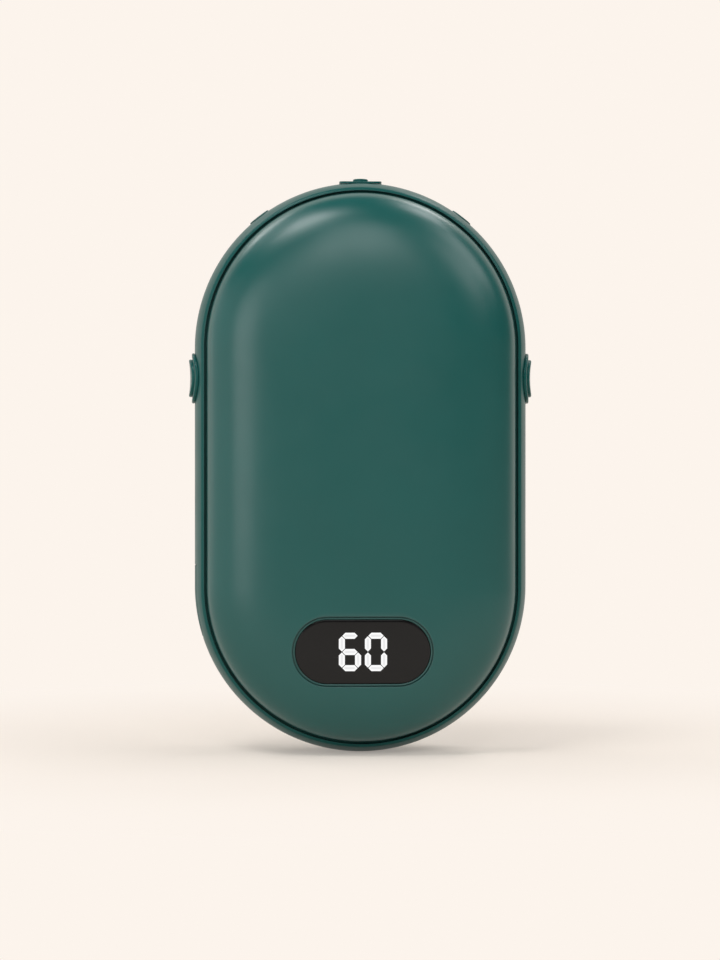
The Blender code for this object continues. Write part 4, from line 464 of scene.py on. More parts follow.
def on_end(angle, centre=UPPER_CENTRE):
    """The place on the outline of the round end at an angle from upright."""
    return Vector((0, 0, centre)) + outward_at(angle) * BODY_RADIUS


pockets = [
    rod((-BODY_RADIUS, 0, SIDE_KEY_LEVEL), (-1, 0, 0), KEY_HOLE_RADIUS, -REACH, REACH, 96),
    rod((BODY_RADIUS, 0, SIDE_KEY_LEVEL), (1, 0, 0), KEY_HOLE_RADIUS, -REACH, REACH, 96),
    rod(on_end(0.0), outward_at(0.0), POWER_HOLE_RADIUS, -REACH, REACH),
]
bosses = []
for angle in (-SHOULDER_ANGLE, SHOULDER_ANGLE):
    place, out = on_end(angle), outward_at(angle)
    bosses.append(rod(place, out, BOSS_RADIUS, -BOSS_DEPTH, -BAND_WALL / 2))
    pockets.append(rod(place, out, PLUG_HOLE_RADIUS, -PLUG_HOLE_DEPTH, REACH, 96))
    pockets.append(rod(place, out, SCREW_SEAT_RADIUS, -SCREW_SEAT_DEPTH, REACH))
    pockets.append(rod(place, out, SCREW_WAY_RADIUS, -REACH, REACH))

HINGE_LEVEL = 0.0333
FLAP_TOP = 0.03382
FLAP_BOTTOM = 0.0206
FLAP_WIDTH = 0.0060
FLAP_GAP = 0.00015
FLAP_SEAT = 0.0015
FLAP_THICKNESS = 0.0012
ROOT_HOLE_RADIUS = 0.00075
PORT_LEVEL = 0.0264
PORT_MOUTH = -0.02719
PORT_BLOCK_BACK = -0.0260
PORT_BLOCK_HALF = 0.0031
PORT_BLOCK_ENDS = (0.0195, 0.0344)
PORT_BLOCK_STEPS = 8
PORT_WAY_RADIUS = 0.0019
PORT_WAY_HALF = 0.00287
NORMAL_AGREES = 0.96
ON_FACE = 0.00004


def belt_x(depth, level, sunk=0.0):
    """Where the left side of the band is at a depth and level, sunk below its face."""
    reach = BODY_RADIUS - belt_inset(depth) - sunk
    drop = max(0.0, LOWER_CENTRE - level)
    return -math.sqrt(reach ** 2 - drop ** 2)


def flap_outline(margin, above, steps=40):
    """The outline of the port flap as (depth, level): round below, square above."""
    radius = FLAP_WIDTH / 2 + margin
    centre = FLAP_BOTTOM - margin + radius
    outline = []
    for step in range(steps + 1):
        angle = math.pi + math.pi * step / steps
        outline.append((radius * math.cos(angle), centre + radius * math.sin(angle)))
    for step in range(1, steps):
        outline.append((radius, centre + (above - centre) * step / steps))
    for step in range(steps // 2):
        outline.append((radius - 2 * radius * step / (steps // 2), above))
    for step in range(steps):
        outline.append((-radius, above + (centre - above) * step / steps))
    return outline


def slot_row(radius, half, across, steps):
    """A loop round an upright slot at the port, with half circles for its ends."""
    row = []
    for angle in round_angles(steps):
        rise = math.sin(angle)
        level = PORT_LEVEL + radius * rise + math.copysign(half, rise)
        row.append(Vector((across, radius * math.cos(angle), level)))
    return row


def box_mesh(middle, size):
    """A plain block for cutting or joining."""
    form = bmesh.new()
    bmesh.ops.create_cube(form, size=1)
    bmesh.ops.scale(form, vec=size, verts=form.verts)
    bmesh.ops.translate(form, vec=middle, verts=form.verts)
    mesh = bpy.data.meshes.new("block")
    form.to_mesh(mesh)
    form.free()
    return mesh


seat = flap_outline(FLAP_GAP, FLAP_TOP + FLAP_GAP)
seat_floor = []
for depth, level in seat:
    drop = max(0.0, LOWER_CENTRE - level)
    seat_floor.append(Vector((
        -math.sqrt((BODY_RADIUS - FLAP_SEAT) ** 2 - drop ** 2), depth, level
    )))
seat_mouth = [Vector((-BODY_RADIUS - REACH, depth, level)) for depth, level in seat]
pockets.append(skin_mesh("flap_seat", [seat_floor, seat_mouth]))
pockets.append(skin_mesh("port_way", [
    slot_row(PORT_WAY_RADIUS, PORT_WAY_HALF, across, 64)
    for across in (PORT_MOUTH - REACH, PORT_MOUTH + REACH / 2)
]))
pockets.append(
    rod((-BODY_RADIUS, 0, HINGE_LEVEL), (-1, 0, 0), ROOT_HOLE_RADIUS, -REACH, REACH, 32)
)
low, high = PORT_BLOCK_ENDS
block_levels = [
    low + (high - low) * step / PORT_BLOCK_STEPS for step in range(PORT_BLOCK_STEPS + 1)
]
bosses.append(skin_mesh("port_block", [
    [Vector((belt_x(0.0, level, BAND_WALL / 2), depth, level)) for level in block_levels]
    + [Vector((PORT_BLOCK_BACK, depth, level)) for level in reversed(block_levels)]
    for depth in (-PORT_BLOCK_HALF, PORT_BLOCK_HALF)
]))
band_mesh = carve(band_mesh, bosses, pockets)


def lay_normals(mesh, face_normal):
    """Gives the corners on a known smooth face the exact direction of that face."""
    mesh.shade_smooth()
    mesh.set_sharp_from_angle(angle=SMOOTH_BELOW)
    normals = [Vector(corner.vector) for corner in mesh.corner_normals]
    for polygon in mesh.polygons:
        exact = [face_normal(mesh.vertices[vertex].co) for vertex in polygon.vertices]
        if any(way is None or way.dot(polygon.normal) < NORMAL_AGREES for way in exact):
            continue
        for corner, way in zip(polygon.loop_indices, exact):
            normals[corner] = way
    mesh.normals_split_custom_set(normals)


def band_normal(point):
    """The direction out of the crowned face at a point on it, or None away from it."""
    level = min(max(point.z, LOWER_CENTRE), UPPER_CENTRE)
    out = Vector((point.x, 0, point.z - level))
    reach = out.length
    inset = BODY_RADIUS - reach
    if abs(point.y) > crown_edge + WELD or abs(inset - belt_inset(point.y)) > ON_FACE:
        return None
    lean = point.y / CROWN_RADIUS
    return out / reach * math.sqrt(1 - lean ** 2) + Vector((0, lean, 0))


band_paint = moulding("band_paint", BAND_GREEN, 0.36, worn=0.04, shine=0.20)
mid_frame = make_piece("moulded_mid_frame", band_mesh, band_paint)
lay_normals(mid_frame.data, band_normal)
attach(mid_frame, "housing")
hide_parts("mid_frame")


# Inner chassis
# A grey nylon frame inside the band that carries the cells and boards. It is moulded with
# short glass fibres, which leave a faint mottle on its skin.

CHASSIS_GREY = (0.060, 0.064, 0.066)


def dress(finish, *names):
    """Lays a finish on CAD solids that stay as they are."""
    for name in names:
        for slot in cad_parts[name].material_slots:
            slot.material = finish


dress(moulding("chassis_nylon", CHASSIS_GREY, 0.55, 0.0004, 0.3, worn=0.0), "inner_chassis")


# Cells
# Two lithium pouch cells, back to back on a strip of foam tape. A pouch is aluminium foil
# between nylon films, drawn over the cell, so it shows soft creases.

FOIL_SILVER = (0.60, 0.61, 0.62)
FOIL_CREASE = 0.009
FOIL_GRAIN = 0.0006
FOIL_RELIEF = 0.00012
TAPE_GREY = (0.120, 0.120, 0.125)
TAPE_PORE = 0.0007
PORE_END = 0.55
FOAM_DULL = (0.82, 0.95)
FOIL_DULL = (0.24, 0.42)


def foamed(name, colour, pore):
    """A soft foam: round open pores painted darker inside as shade, in a dull skin."""
    material, tree, shader, place = new_finish(name, shine=0.2)
    pores = add_node(
        tree, "ShaderNodeTexVoronoi", {"Vector": place, "Scale": 1 / pore}
    ).outputs["Distance"]
    skin = spread(tree, pores, 0.0, 1.0, 0.0, PORE_END)
    # Pores darken towards their middles: painted shade in the hollows, over the real pore
    # relief.
    colour = blended(tree, skin, shade(colour, 0.45), shade(colour, 1.05))
    lay_finish(tree, shader, place, colour, FOAM_DULL, skin, pore / 3, smear=CLOUD_SIZE)
    return material


foil, tree, shader, place = new_finish("pouch_foil", metal=1.0)
creases = clouds(tree, place, FOIL_CREASE, 6.0)
silver = blended(tree, creases, shade(FOIL_SILVER, 0.85), shade(FOIL_SILVER, 1.2))
lay_finish(tree, shader, place, silver, FOIL_DULL, creases, FOIL_RELIEF, smear=FOIL_GRAIN)
dress(foil, "front_cell", "rear_cell")
dress(foamed("foam_tape", TAPE_GREY, TAPE_PORE), "cell_pad")


# Circuit boards
# Glass-fibre boards under green solder resist: bundles of copper tracks show through as
# paler lines and tinned holes as silver dots. Boards that lie in one plane share a resist.

RESIST_GREEN = (0.020, 0.160, 0.060)
TIN_SILVER = (0.55, 0.55, 0.53, 1.0)
BUNDLE_SIZE = 0.0055
TRACK_PITCH = 0.0008
TRACK_RISE = 0.00003
HOLE_PITCH = 0.0022
HOLE_REACH = 0.11
BUNDLE_TURN = (0.49, 0.51)
BARE_BUNDLES = (0.30, 0.32)
TRACK_EDGE = (0.55, 0.75)
RESIST_DULL = (0.28, 0.42)
RIGHT_ANGLE = math.pi / 2
WAVE_PER_METRE = math.tau / 20


def board_resist(name, turn):
    """Solder resist over tracks on a board whose plane a turn brings level."""
    material, tree, shader, place = new_finish(name)
    level = add_node(
        tree, "ShaderNodeMapping", {"Vector": place, "Rotation": turn}
    ).outputs["Vector"]
    bundle = add_node(tree, "ShaderNodeSeparateColor", {"Color": add_node(
        tree, "ShaderNodeTexVoronoi", {"Vector": level, "Scale": 1 / BUNDLE_SIZE},
        distance="CHEBYCHEV",
    ).outputs["Color"]}).outputs
    runs = [add_node(
        tree, "ShaderNodeTexWave", {"Vector": level, "Scale": WAVE_PER_METRE / TRACK_PITCH},
        bands_direction=way,
    ).outputs["Fac"] for way in "XY"]
    across = spread(tree, bundle["Red"], 0.0, 1.0, *BUNDLE_TURN)
    lines = add_node(
        tree, "ShaderNodeMix", {"Factor": across, "A": runs[0], "B": runs[1]}
    ).outputs["Result"]
    bare = spread(tree, bundle["Green"], 1.0, 0.0, *BARE_BUNDLES)
    tracks = spread(tree, add_node(
        tree, "ShaderNodeMix", {"Factor": bare, "A": lines, "B": 0.0}
    ).outputs["Result"], 0.0, 1.0, *TRACK_EDGE)
    holes = add_node(
        tree, "ShaderNodeTexVoronoi", {"Vector": level, "Scale": 1 / HOLE_PITCH}
    ).outputs["Distance"]
    hole = spread(tree, holes, 1.0, 0.0, HOLE_REACH, HOLE_REACH * 1.3)
    green = blended(tree, tracks, shade(RESIST_GREEN, 0.75), shade(RESIST_GREEN, 1.4))
    colour = blended(tree, hole, green, TIN_SILVER)
    lay_finish(tree, shader, place, colour, RESIST_DULL, tracks, TRACK_RISE)
    return material


for name, turn, boards in (
    ("resist_upright", (RIGHT_ANGLE, 0, 0), ("main_board", "display_board")),
    ("resist_sideways", (0, RIGHT_ANGLE, 0), ("left_key_board", "right_key_board")),
    ("resist_level", (0, 0, 0), ("power_key_board", "protection_board")),
):
    dress(board_resist(name, turn), *boards)


# Board parts
# What the boards carry: two moulded chips, a pressed ferrite inductor and the nylon socket
# of the battery, whose red and black leads are sheathed in soft vinyl.

CHIP_BLACK = (0.015, 0.015, 0.016)
FERRITE_GREY = (0.090, 0.090, 0.095)
NYLON_WHITE = (0.78, 0.77, 0.72)
LEAD_RED = (0.50, 0.020, 0.015)
LEAD_BLACK = (0.015, 0.015, 0.015)
RESIN_GRAIN = 0.00008
FERRITE_GRAIN = 0.0005
LEAD_GRAIN = 0.0006

chip_resin = moulding("chip_resin", CHIP_BLACK, 0.62, RESIN_GRAIN, 0.35, worn=0.0)
dress(chip_resin, "charger_chip", "control_chip")
dress(moulding("ferrite", FERRITE_GREY, 0.80, FERRITE_GRAIN, 0.6, worn=0.0), "power_inductor")
dress(moulding("socket_nylon", NYLON_WHITE, 0.42, LEAD_GRAIN, worn=0.0), "battery_socket")
dress(moulding("vinyl_red", LEAD_RED, 0.38, LEAD_GRAIN, worn=0.0), "battery_lead_red")
dress(moulding("vinyl_black", LEAD_BLACK, 0.38, LEAD_GRAIN, worn=0.0), "battery_lead_black")


# Charging socket
# A drawn stainless shell round a black tongue with gilt contacts on both faces, at the left
# edge of the main board behind the port flap.

SOCKET_STEEL = (0.56, 0.57, 0.58)
GILT = (0.80, 0.56, 0.22, 1.0)
CONTACT_PITCH = 0.0005
CONTACT_SHARE = 0.55
CONTACT_RISE = 0.00004
DRAW_LENGTH = 0.012
DRAW_WIDTH = 0.0002
DRAW_RISE = 0.00001
DRAW_DULL = (-0.06, 0.08)
FILM_DULL = (0.28, 0.45)
STRIPE_EDGE = 0.08


def drawn_metal(name, colour, roughness, along=(1, 0, 0)):
    """A rolled or drawn metal: fine lines along one way, a little uneven in its shine."""
    material, tree, shader, place = new_finish(name, metal=1.0)
    sizes = [1 / DRAW_LENGTH if way else 1 / DRAW_WIDTH for way in along]
    stretched = add_node(
        tree, "ShaderNodeMapping", {"Vector": place, "Scale": sizes}
    ).outputs["Vector"]
    lines = clouds(tree, stretched, 1.0, 2.0)
    metal = blended(tree, lines, shade(colour, 0.85), shade(colour, 1.15))
    dull = [roughness + step for step in DRAW_DULL]
    lay_finish(tree, shader, place, metal, dull, lines, DRAW_RISE)
    return material


def striped(name, base, stripe, pitch, axis, share, rise, shine=0.5):
    """A plastic or film with even stripes across one axis, slightly raised."""
    material, tree, shader, place = new_finish(name, shine)
    waves = add_node(
        tree, "ShaderNodeTexWave", {"Vector": place, "Scale": WAVE_PER_METRE / pitch},
        bands_direction=axis,
    ).outputs["Fac"]
    lines = spread(tree, waves, 0.0, 1.0, share - STRIPE_EDGE, share + STRIPE_EDGE)
    mottled = blended(
        tree, clouds(tree, place, SMEAR_SIZE), shade(base, 0.85), shade(base, 1.15)
    )
    colour = blended(tree, lines, mottled, stripe)
    lay_finish(tree, shader, place, colour, FILM_DULL, lines, rise)
    return material


dress(drawn_metal("socket_stainless", SOCKET_STEEL, 0.30), "socket_shell")
tongue = striped(
    "contact_tongue", CHIP_BLACK, GILT, CONTACT_PITCH, "Z", CONTACT_SHARE, CONTACT_RISE
)
dress(tongue, "socket_tongue")


# Display module
# Behind the window: a board with the lamps, a matt black block with a cell for each bar,
# and the frosted white light guide that fills the cells. A black foam frame seals the lens.

REFLECTOR_BLACK = (0.010, 0.010, 0.011)
GUIDE_WHITE = (0.85, 0.86, 0.87)
ADHESIVE_BLACK = (0.012, 0.012, 0.012)
FROST_GRAIN = 0.00015

dress(moulding("reflector_black", REFLECTOR_BLACK, 0.70, worn=0.0), "display_reflector")
frosted = moulding("frosted_guide", GUIDE_WHITE, 0.45, FROST_GRAIN, worn=0.0)
dress(frosted, "display_light_guide")
dress(foamed("lens_foam", ADHESIVE_BLACK, TAPE_PORE / 2), "lens_seal")


# Key switches
# A small push switch on its own board behind each key: a black case and a plunger that
# reaches the key. Ribbed flat leads run down inside the band to the main board.

PLUNGER_BLACK = (0.022, 0.022, 0.024)
LEAD_GREY = (0.18, 0.18, 0.19)
LEAD_RIDGE = shade(LEAD_GREY, 1.5)
LEAD_PITCH = 0.0005
LEAD_RISE = 0.00008

case_resin = moulding("switch_case", CHIP_BLACK, 0.50, worn=0.0)
plunger_resin = moulding("switch_plunger", PLUNGER_BLACK, 0.35, worn=0.0)
flat_lead = striped("flat_lead", LEAD_GREY, LEAD_RIDGE, LEAD_PITCH, "Y", 0.5, LEAD_RISE)
for side in ("left", "right", "power"):
    dress(case_resin, f"{side}_key_switch_body")
    dress(plunger_resin, f"{side}_key_switch_plunger")
    dress(flat_lead, f"{side}_key_lead")


# Heaters
# Under each shell an aluminium sheet spreads the heat of an etched foil heater, in amber
# film, pressed to it by white foam. A resin bead on two wires measures the sheet.

SPREADER_SILVER = (0.72, 0.73, 0.74)
FILM_AMBER = (0.52, 0.20, 0.030)
HEATER_TRACK = (0.30, 0.105, 0.020, 1.0)
HEATER_PITCH = 0.0026
TAIL_PITCH = 0.0013
TRACK_SHARE = 0.45
FILM_RISE = 0.00003
FOAM_WHITE = (0.70, 0.69, 0.66)
FOAM_PORE = 0.0010
BEAD_BROWN = (0.160, 0.070, 0.030)

sheet_metal = drawn_metal("rolled_aluminium", SPREADER_SILVER, 0.36, (0, 0, 1))
heater_film = striped(
    "heater_film", FILM_AMBER, HEATER_TRACK, HEATER_PITCH, "Z", TRACK_SHARE, FILM_RISE
)
tail_film = striped(
    "tail_film", FILM_AMBER, HEATER_TRACK, TAIL_PITCH, "X", TRACK_SHARE, FILM_RISE
)
thermal_foam = foamed("thermal_foam", FOAM_WHITE, FOAM_PORE)
bead_resin = moulding("bead_resin", BEAD_BROWN, 0.22, LEAD_GRAIN, worn=0.0)
for side in ("front", "rear"):
    dress(sheet_metal, f"{side}_heat_spreader")
    dress(heater_film, f"{side}_heater_film")
    dress(tail_film, f"{side}_heater_tail")
    dress(thermal_foam, f"{side}_thermal_foam")
    dress(bead_resin, f"{side}_thermistor")


# Screws
# Small machine screws of turned stainless steel: two on the shoulders hold the chassis in
# the band, under the soft plugs, and two hold the main board.

SCREW_STEEL = (0.45, 0.455, 0.46)

turned_steel = drawn_metal("turned_steel", SCREW_STEEL, 0.30, (0, 1, 0))
for side in ("left", "right"):
    dress(turned_steel, f"{side}_frame_screw", f"{side}_board_screw")


# Gaskets
# A flat silicone ring under each shell, squeezed against the band: the black line in the
# groove. Its black is darker than the rubber's own: painted shade for the deep groove.
# Cut from sheet and laid round the outline.

# Darker than black silicone: painted shade for the groove the ring lies in.
GASKET_BLACK_AND_SHADE = (0.0015, 0.0018, 0.0018)
GASKET_OUTER = 0.0050
GASKET_INNER = 0.0045
GASKET_FROM = 0.0019
GASKET_TO = 0.0039
GASKET_EDGE = 0.00012


def point_of(tree, x, y, z):
    """A vector in a tree from three sockets or numbers."""
    return add_node(
        tree, "ShaderNodeCombineXYZ", dict(enumerate((x, y, z)))
    ).outputs[0]


def new_tree(name, sizes):
    """An empty tree with a named size input for each of the given values."""
    tree = bpy.data.node_groups.new(name, "GeometryNodeTree")
    tree.interface.new_socket("Geometry", in_out="INPUT", socket_type="NodeSocketGeometry")
    for size, value in sizes.items():
        socket = tree.interface.new_socket(size, in_out="INPUT", socket_type="NodeSocketFloat")
        socket.default_value = value
    tree.interface.new_socket("Geometry", in_out="OUTPUT", socket_type="NodeSocketGeometry")
    return tree, add_node(tree, "NodeGroupInput").outputs, add_node(tree, "NodeGroupOutput")


def place_of(tree):
    """The X, Y and Z of each point, by name."""
    where = add_node(tree, "GeometryNodeInputPosition").outputs["Position"]
    return add_node(tree, "ShaderNodeSeparateXYZ", {"Vector": where}).outputs


def end_tree(tree, result, geometry, material):
    """Ends a tree with its geometry in a material."""
    coated = add_node(
        tree, "GeometryNodeSetMaterial", {"Geometry": geometry, "Material": material}
    )
    tree.links.new(coated.outputs["Geometry"], result.inputs["Geometry"])


def grown_mesh(name, tree, sizes, points=(), marks=None):
    """Runs a tree on marked points with its sizes set, and returns the plain mesh."""
    seed = bpy.data.meshes.new(name)
    seed.from_pydata(list(points), [], [])
    for mark, values in (marks or {}).items():
        seed.attributes.new(mark, "FLOAT", "POINT").data.foreach_set("value", values)
    body = bpy.data.objects.new(name, seed)
    scene.collection.objects.link(body)
    grow = body.modifiers.new(name, "NODES")
    grow.node_group = tree
    for item in tree.interface.items_tree:
        if item.in_out == "INPUT" and item.name in sizes:
            grow[item.identifier] = sizes[item.name]
    bpy.context.view_layer.update()
    depsgraph = bpy.context.evaluated_depsgraph_get()
    mesh = bpy.data.meshes.new_from_object(body.evaluated_get(depsgraph))
    mesh.name = name
    bpy.data.objects.remove(body)
    return mesh


# The ring's near-black colour is partly real black rubber and partly painted shade of the
# groove.
gasket_rubber_and_shade = moulding("gasket_rubber_and_shade", GASKET_BLACK_AND_SHADE, 0.85, grain=0.0002, worn=0.0, shine=0.1)
gasket_sizes = {
    "End Radius": BODY_RADIUS, "Half Side": (UPPER_CENTRE - LOWER_CENTRE) / 2,
    "Middle": BODY_MIDDLE, "Inset": (GASKET_FROM + GASKET_TO) / 2,
    "Width": GASKET_TO - GASKET_FROM, "Thickness": GASKET_OUTER - GASKET_INNER,
    "Depth": -(GASKET_OUTER + GASKET_INNER) / 2,
}
tree, given, result = new_tree("gasket_tree", gasket_sizes)
circle = add_node(tree, "GeometryNodeCurvePrimitiveCircle", {
    "Resolution": 2 * END_STEPS,
    "Radius": figure(tree, "SUBTRACT", given["End Radius"], given["Inset"]),
}).outputs["Curve"]
turned = add_node(tree, "GeometryNodeTransform", {
    "Geometry": circle, "Rotation": (math.pi / 2, math.pi / (2 * END_STEPS), 0),
}).outputs["Geometry"]
end = figure(tree, "SIGN", place_of(tree)["Z"])
level = figure(tree, "ADD", figure(tree, "MULTIPLY", end, given["Half Side"]), given["Middle"])
stretched = add_node(tree, "GeometryNodeSetPosition", {
    "Geometry": turned, "Offset": point_of(tree, 0.0, given["Depth"], level),
}).outputs["Geometry"]
strip = add_node(tree, "GeometryNodeCurvePrimitiveQuadrilateral", {
    "Width": given["Width"], "Height": given["Thickness"],
}).outputs["Curve"]
rounded = add_node(tree, "GeometryNodeFilletCurve", {
    "Curve": strip, "Count": 3, "Radius": GASKET_EDGE,
}, mode="POLY").outputs["Curve"]
laid = add_node(tree, "GeometryNodeCurveToMesh", {
    "Curve": stretched, "Profile Curve": rounded,
}).outputs["Mesh"]
real = add_node(tree, "GeometryNodeRealizeInstances", {"Geometry": laid}).outputs["Geometry"]
end_tree(tree, result, real, gasket_rubber_and_shade)
for side, name, node in (
    (1, "front_gasket_ring", "front_gasket"), (-1, "rear_gasket_ring", "rear_gasket")
):
    sizes = dict(gasket_sizes, Depth=side * gasket_sizes["Depth"])
    gasket = make_piece(name, grown_mesh(name, tree, sizes), gasket_rubber_and_shade)
    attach(gasket, "housing")
    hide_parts(node)


# Shells
# Front and rear covers, moulded 1.5 mm thick and sprayed satin green. Each is a dome that
# starts upright at the groove and turns flat; the front one has the display window.

SHELL_INSET = 0.0023
SHELL_FACE = 0.0140
DOME_POWER = 4.24
RIM_INSET = 0.0051
INNER_BASE = 0.0065
INNER_RUN = 0.0142
INNER_POWER = 2.6
SHELL_BACK = 0.0125
SKIRT_END = 0.0051
WINDOW_LEVEL = 0.0189
WINDOW_HALF = 0.0063
WINDOW_RADIUS = 0.00565
WINDOW_GAP = 0.0001
WINDOW_ROUND = 0.00015
RIM_SUNK = 0.00005
RIM_LINE = (
    (0.00070, 0.0), (0.00064, 0.00001), (0.00060, 0.00003), (0.00057, 0.00008),
    (0.00055, 0.00052), (0.00035, 0.00052), (0.00033, 0.00012), (0.00029, RIM_SUNK),
)
WINDOW_FLOOR = 0.0122
WINDOW_BACK = 0.0112
SIGHT_BORDER = 0.00195
COLLAR = 0.0012
MEETING_INSET = 0.0104
SPINE_MARGIN = 0.0004
FACE_STEPS = 40
BACK_STEPS = 16
SHELL_GREEN = (0.0025, 0.076, 0.0690)


def inset_of(x, z):
    """How far a point lies inside the body's outline."""
    level = min(max(z, LOWER_CENTRE), UPPER_CENTRE)
    return BODY_RADIUS - math.hypot(x, z - level)


OUTER_DOME = (SHELL_INSET, BODY_RADIUS - SHELL_INSET, BAND_EDGE, SHELL_FACE, DOME_POWER)
INNER_DOME = (RIM_INSET, INNER_RUN, INNER_BASE, SHELL_BACK, INNER_POWER)


def dome_depth(inset, dome=OUTER_DOME):
    """Depth of a dome that is upright at its edge and turns flat at the end of its run."""
    edge, run, base, crown, power = dome
    share = min(1.0, max(0.0, (edge + run - inset) / run))
    return base + (crown - base) * math.sqrt(1 - share ** power)


def dome_insets(dome, inmost, steps):
    """Insets from a dome's edge inwards, close together where it turns."""
    edge, run, _, _, power = dome
    whole = math.acos(((edge + run - inmost) / run) ** (power / 2))
    return [
        edge + run - run * math.cos(whole * step / steps) ** (2 / power)
        for step in range(steps + 1)
    ]


def window_spine(point):
    """The nearest place to a point on the middle line of the window."""
    return Vector((min(max(point.x, -WINDOW_HALF), WINDOW_HALF), 0, WINDOW_LEVEL))


def window_row(guides, offset, depth):
    """A loop round the window at an offset from the lens edge; depth is a value or a rule."""
    row = []
    for guide in guides:
        spine = window_spine(guide)
        out = Vector((guide.x - spine.x, 0, guide.z - spine.z)).normalized()
        place = spine + out * (WINDOW_RADIUS + offset)
        place.y = -depth(place) if callable(depth) else -depth
        row.append(place)
    return row


def shell_depth(point):
    """Depth of the outer face of a shell at a place."""
    return dome_depth(inset_of(point.x, point.z))


def inner_depth(point):
    """Depth of the inner face of a shell at a place."""
    return dome_depth(inset_of(point.x, point.z), INNER_DOME)


def between(row, other, share, depth):
    """The loop part of the way from one loop to another, at the depth of a rule."""
    mixed = []
    for one, two in zip(row, other):
        place = one.lerp(two, share)
        place.y = -depth(place)
        mixed.append(place)
    return mixed


def quarter(rounding, steps):
    """How far each point of a rounded edge lies in from its two sides."""
    angles = [math.pi / 2 * step / steps for step in range(steps + 1)]
    return [
        (rounding * (1 - math.sin(angle)), rounding * (1 - math.cos(angle)))
        for angle in angles
    ]


KEY_RELIEF = 0.0140
SCREW_RELIEF = 0.0064
PORT_RELIEF = 0.0180
RELIEF_DEPTH = 0.0096
RELIEF_REACH = 0.0054
PORT_REACH = 0.0090
SNAP_OUTER = 0.0043
SNAP_BEAD = 0.0004
SNAP_END = 0.0025
RIM_ROWS = [
    (SHELL_INSET, SKIRT_END), (SNAP_OUTER, SKIRT_END),
    (SNAP_OUTER, SNAP_END + 3 * SNAP_BEAD),
    (SNAP_OUTER - SNAP_BEAD, SNAP_END + 1.5 * SNAP_BEAD),
    (SNAP_OUTER, SNAP_END), (RIM_INSET, SNAP_END),
]
outer_insets = dome_insets(OUTER_DOME, MEETING_INSET, 26)
inner_insets = dome_insets(INNER_DOME, MEETING_INSET, 10)
rim_rows = [ring_row(stations, inset, -depth) for inset, depth in RIM_ROWS]
outer_rows = [ring_row(stations, inset, -dome_depth(inset)) for inset in outer_insets]
inner_rows = [
    ring_row(stations, inset, -dome_depth(inset, INNER_DOME)) for inset in inner_insets
]
meeting = outer_rows[-1]
edge_rows = [
    window_row(meeting, aside, lambda place, sunk=sunk: shell_depth(place) - sunk)
    for aside, sunk in RIM_LINE
]
for sunk, aside in reversed(quarter(WINDOW_ROUND, 5)):
    edge_rows.append(window_row(
        meeting, WINDOW_GAP + aside,
        lambda place, sunk=RIM_SUNK + sunk: shell_depth(place) - sunk,
    ))
face_rows = []
for step in range(1, FACE_STEPS):
    share = step / FACE_STEPS
    share = share * share * (3 - 2 * share) * 0.6 + share * 0.4
    face_rows.append(between(meeting, edge_rows[0], share, shell_depth))
pocket_rows = [
    window_row(meeting, WINDOW_GAP, WINDOW_FLOOR),
    window_row(meeting, -SIGHT_BORDER, WINDOW_FLOOR),
    window_row(meeting, -SIGHT_BORDER, WINDOW_BACK),
    window_row(meeting, COLLAR, WINDOW_BACK),
    window_row(meeting, COLLAR, inner_depth),
]
back_rows = [
    between(pocket_rows[-1], inner_rows[-1], step / BACK_STEPS, inner_depth)
    for step in range(1, BACK_STEPS)
]
front_rows = outer_rows + face_rows + edge_rows + pocket_rows + back_rows
front_rows += inner_rows[::-1] + rim_rows[::-1]
front_mesh = skin_mesh("front", front_rows, closed=True)

far_insets = dome_insets(OUTER_DOME, BODY_RADIUS - SPINE_MARGIN, 60)
far_inner = dome_insets(INNER_DOME, RIM_INSET + INNER_RUN - SPINE_MARGIN, 20)
rear_rows = [ring_row(stations, inset, dome_depth(inset)) for inset in reversed(far_insets)]
rear_rows += [ring_row(stations, inset, depth) for inset, depth in RIM_ROWS]
rear_rows += [
    ring_row(stations, inset, dome_depth(inset, INNER_DOME)) for inset in far_inner
]
rear_mesh = skin_mesh("rear", rear_rows)


def snap_gaps():
    """Blocks that part the snap ring into hooks behind the keys, screws and port."""
    gaps = []
    for angle, centre, width, reach in (
        (-math.pi / 2, SIDE_KEY_LEVEL, KEY_RELIEF, RELIEF_REACH),
        (math.pi / 2, SIDE_KEY_LEVEL, KEY_RELIEF, RELIEF_REACH),
        (0.0, UPPER_CENTRE, KEY_RELIEF, RELIEF_REACH),
        (-SHOULDER_ANGLE, UPPER_CENTRE, SCREW_RELIEF, RELIEF_REACH),
        (SHOULDER_ANGLE, UPPER_CENTRE, SCREW_RELIEF, RELIEF_REACH),
        (-math.pi / 2, PORT_LEVEL, PORT_RELIEF, PORT_REACH),
    ):
        block = box_mesh((0, 0, BODY_RADIUS - reach / 2), (width, RELIEF_DEPTH, reach))
        block.transform(
            Matrix.Translation((0, 0, centre)) @ Matrix.Rotation(angle, 4, "Y")
        )
        gaps.append(block)
    return gaps


front_mesh = carve(front_mesh, [], snap_gaps())
rear_mesh = carve(rear_mesh, [], snap_gaps())

shell_paint = moulding("shell_paint", SHELL_GREEN, 0.31)
for name, mesh, node in (
    ("moulded_front_shell", front_mesh, "front_shell"),
    ("moulded_rear_shell", rear_mesh, "rear_shell"),
):
    shell = make_piece(name, mesh, shell_paint)
    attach(shell, "housing")
    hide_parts(node)


# Display lens
# A smoked acrylic window, pressed into its recess over a black foam frame, with its
# front following the dome a hair below the shell. What shines through is the digits.

LENS_SUNK = 0.00012
LENS_BACK = 0.0126
LENS_ROUND = 0.00010
LENS_BLACK = (0.0030, 0.0030, 0.0031)
GUIDE_REACH = 0.01


def lens_depth(place):
    """Depth of the front of the lens at a place."""
    return shell_depth(place) - LENS_SUNK


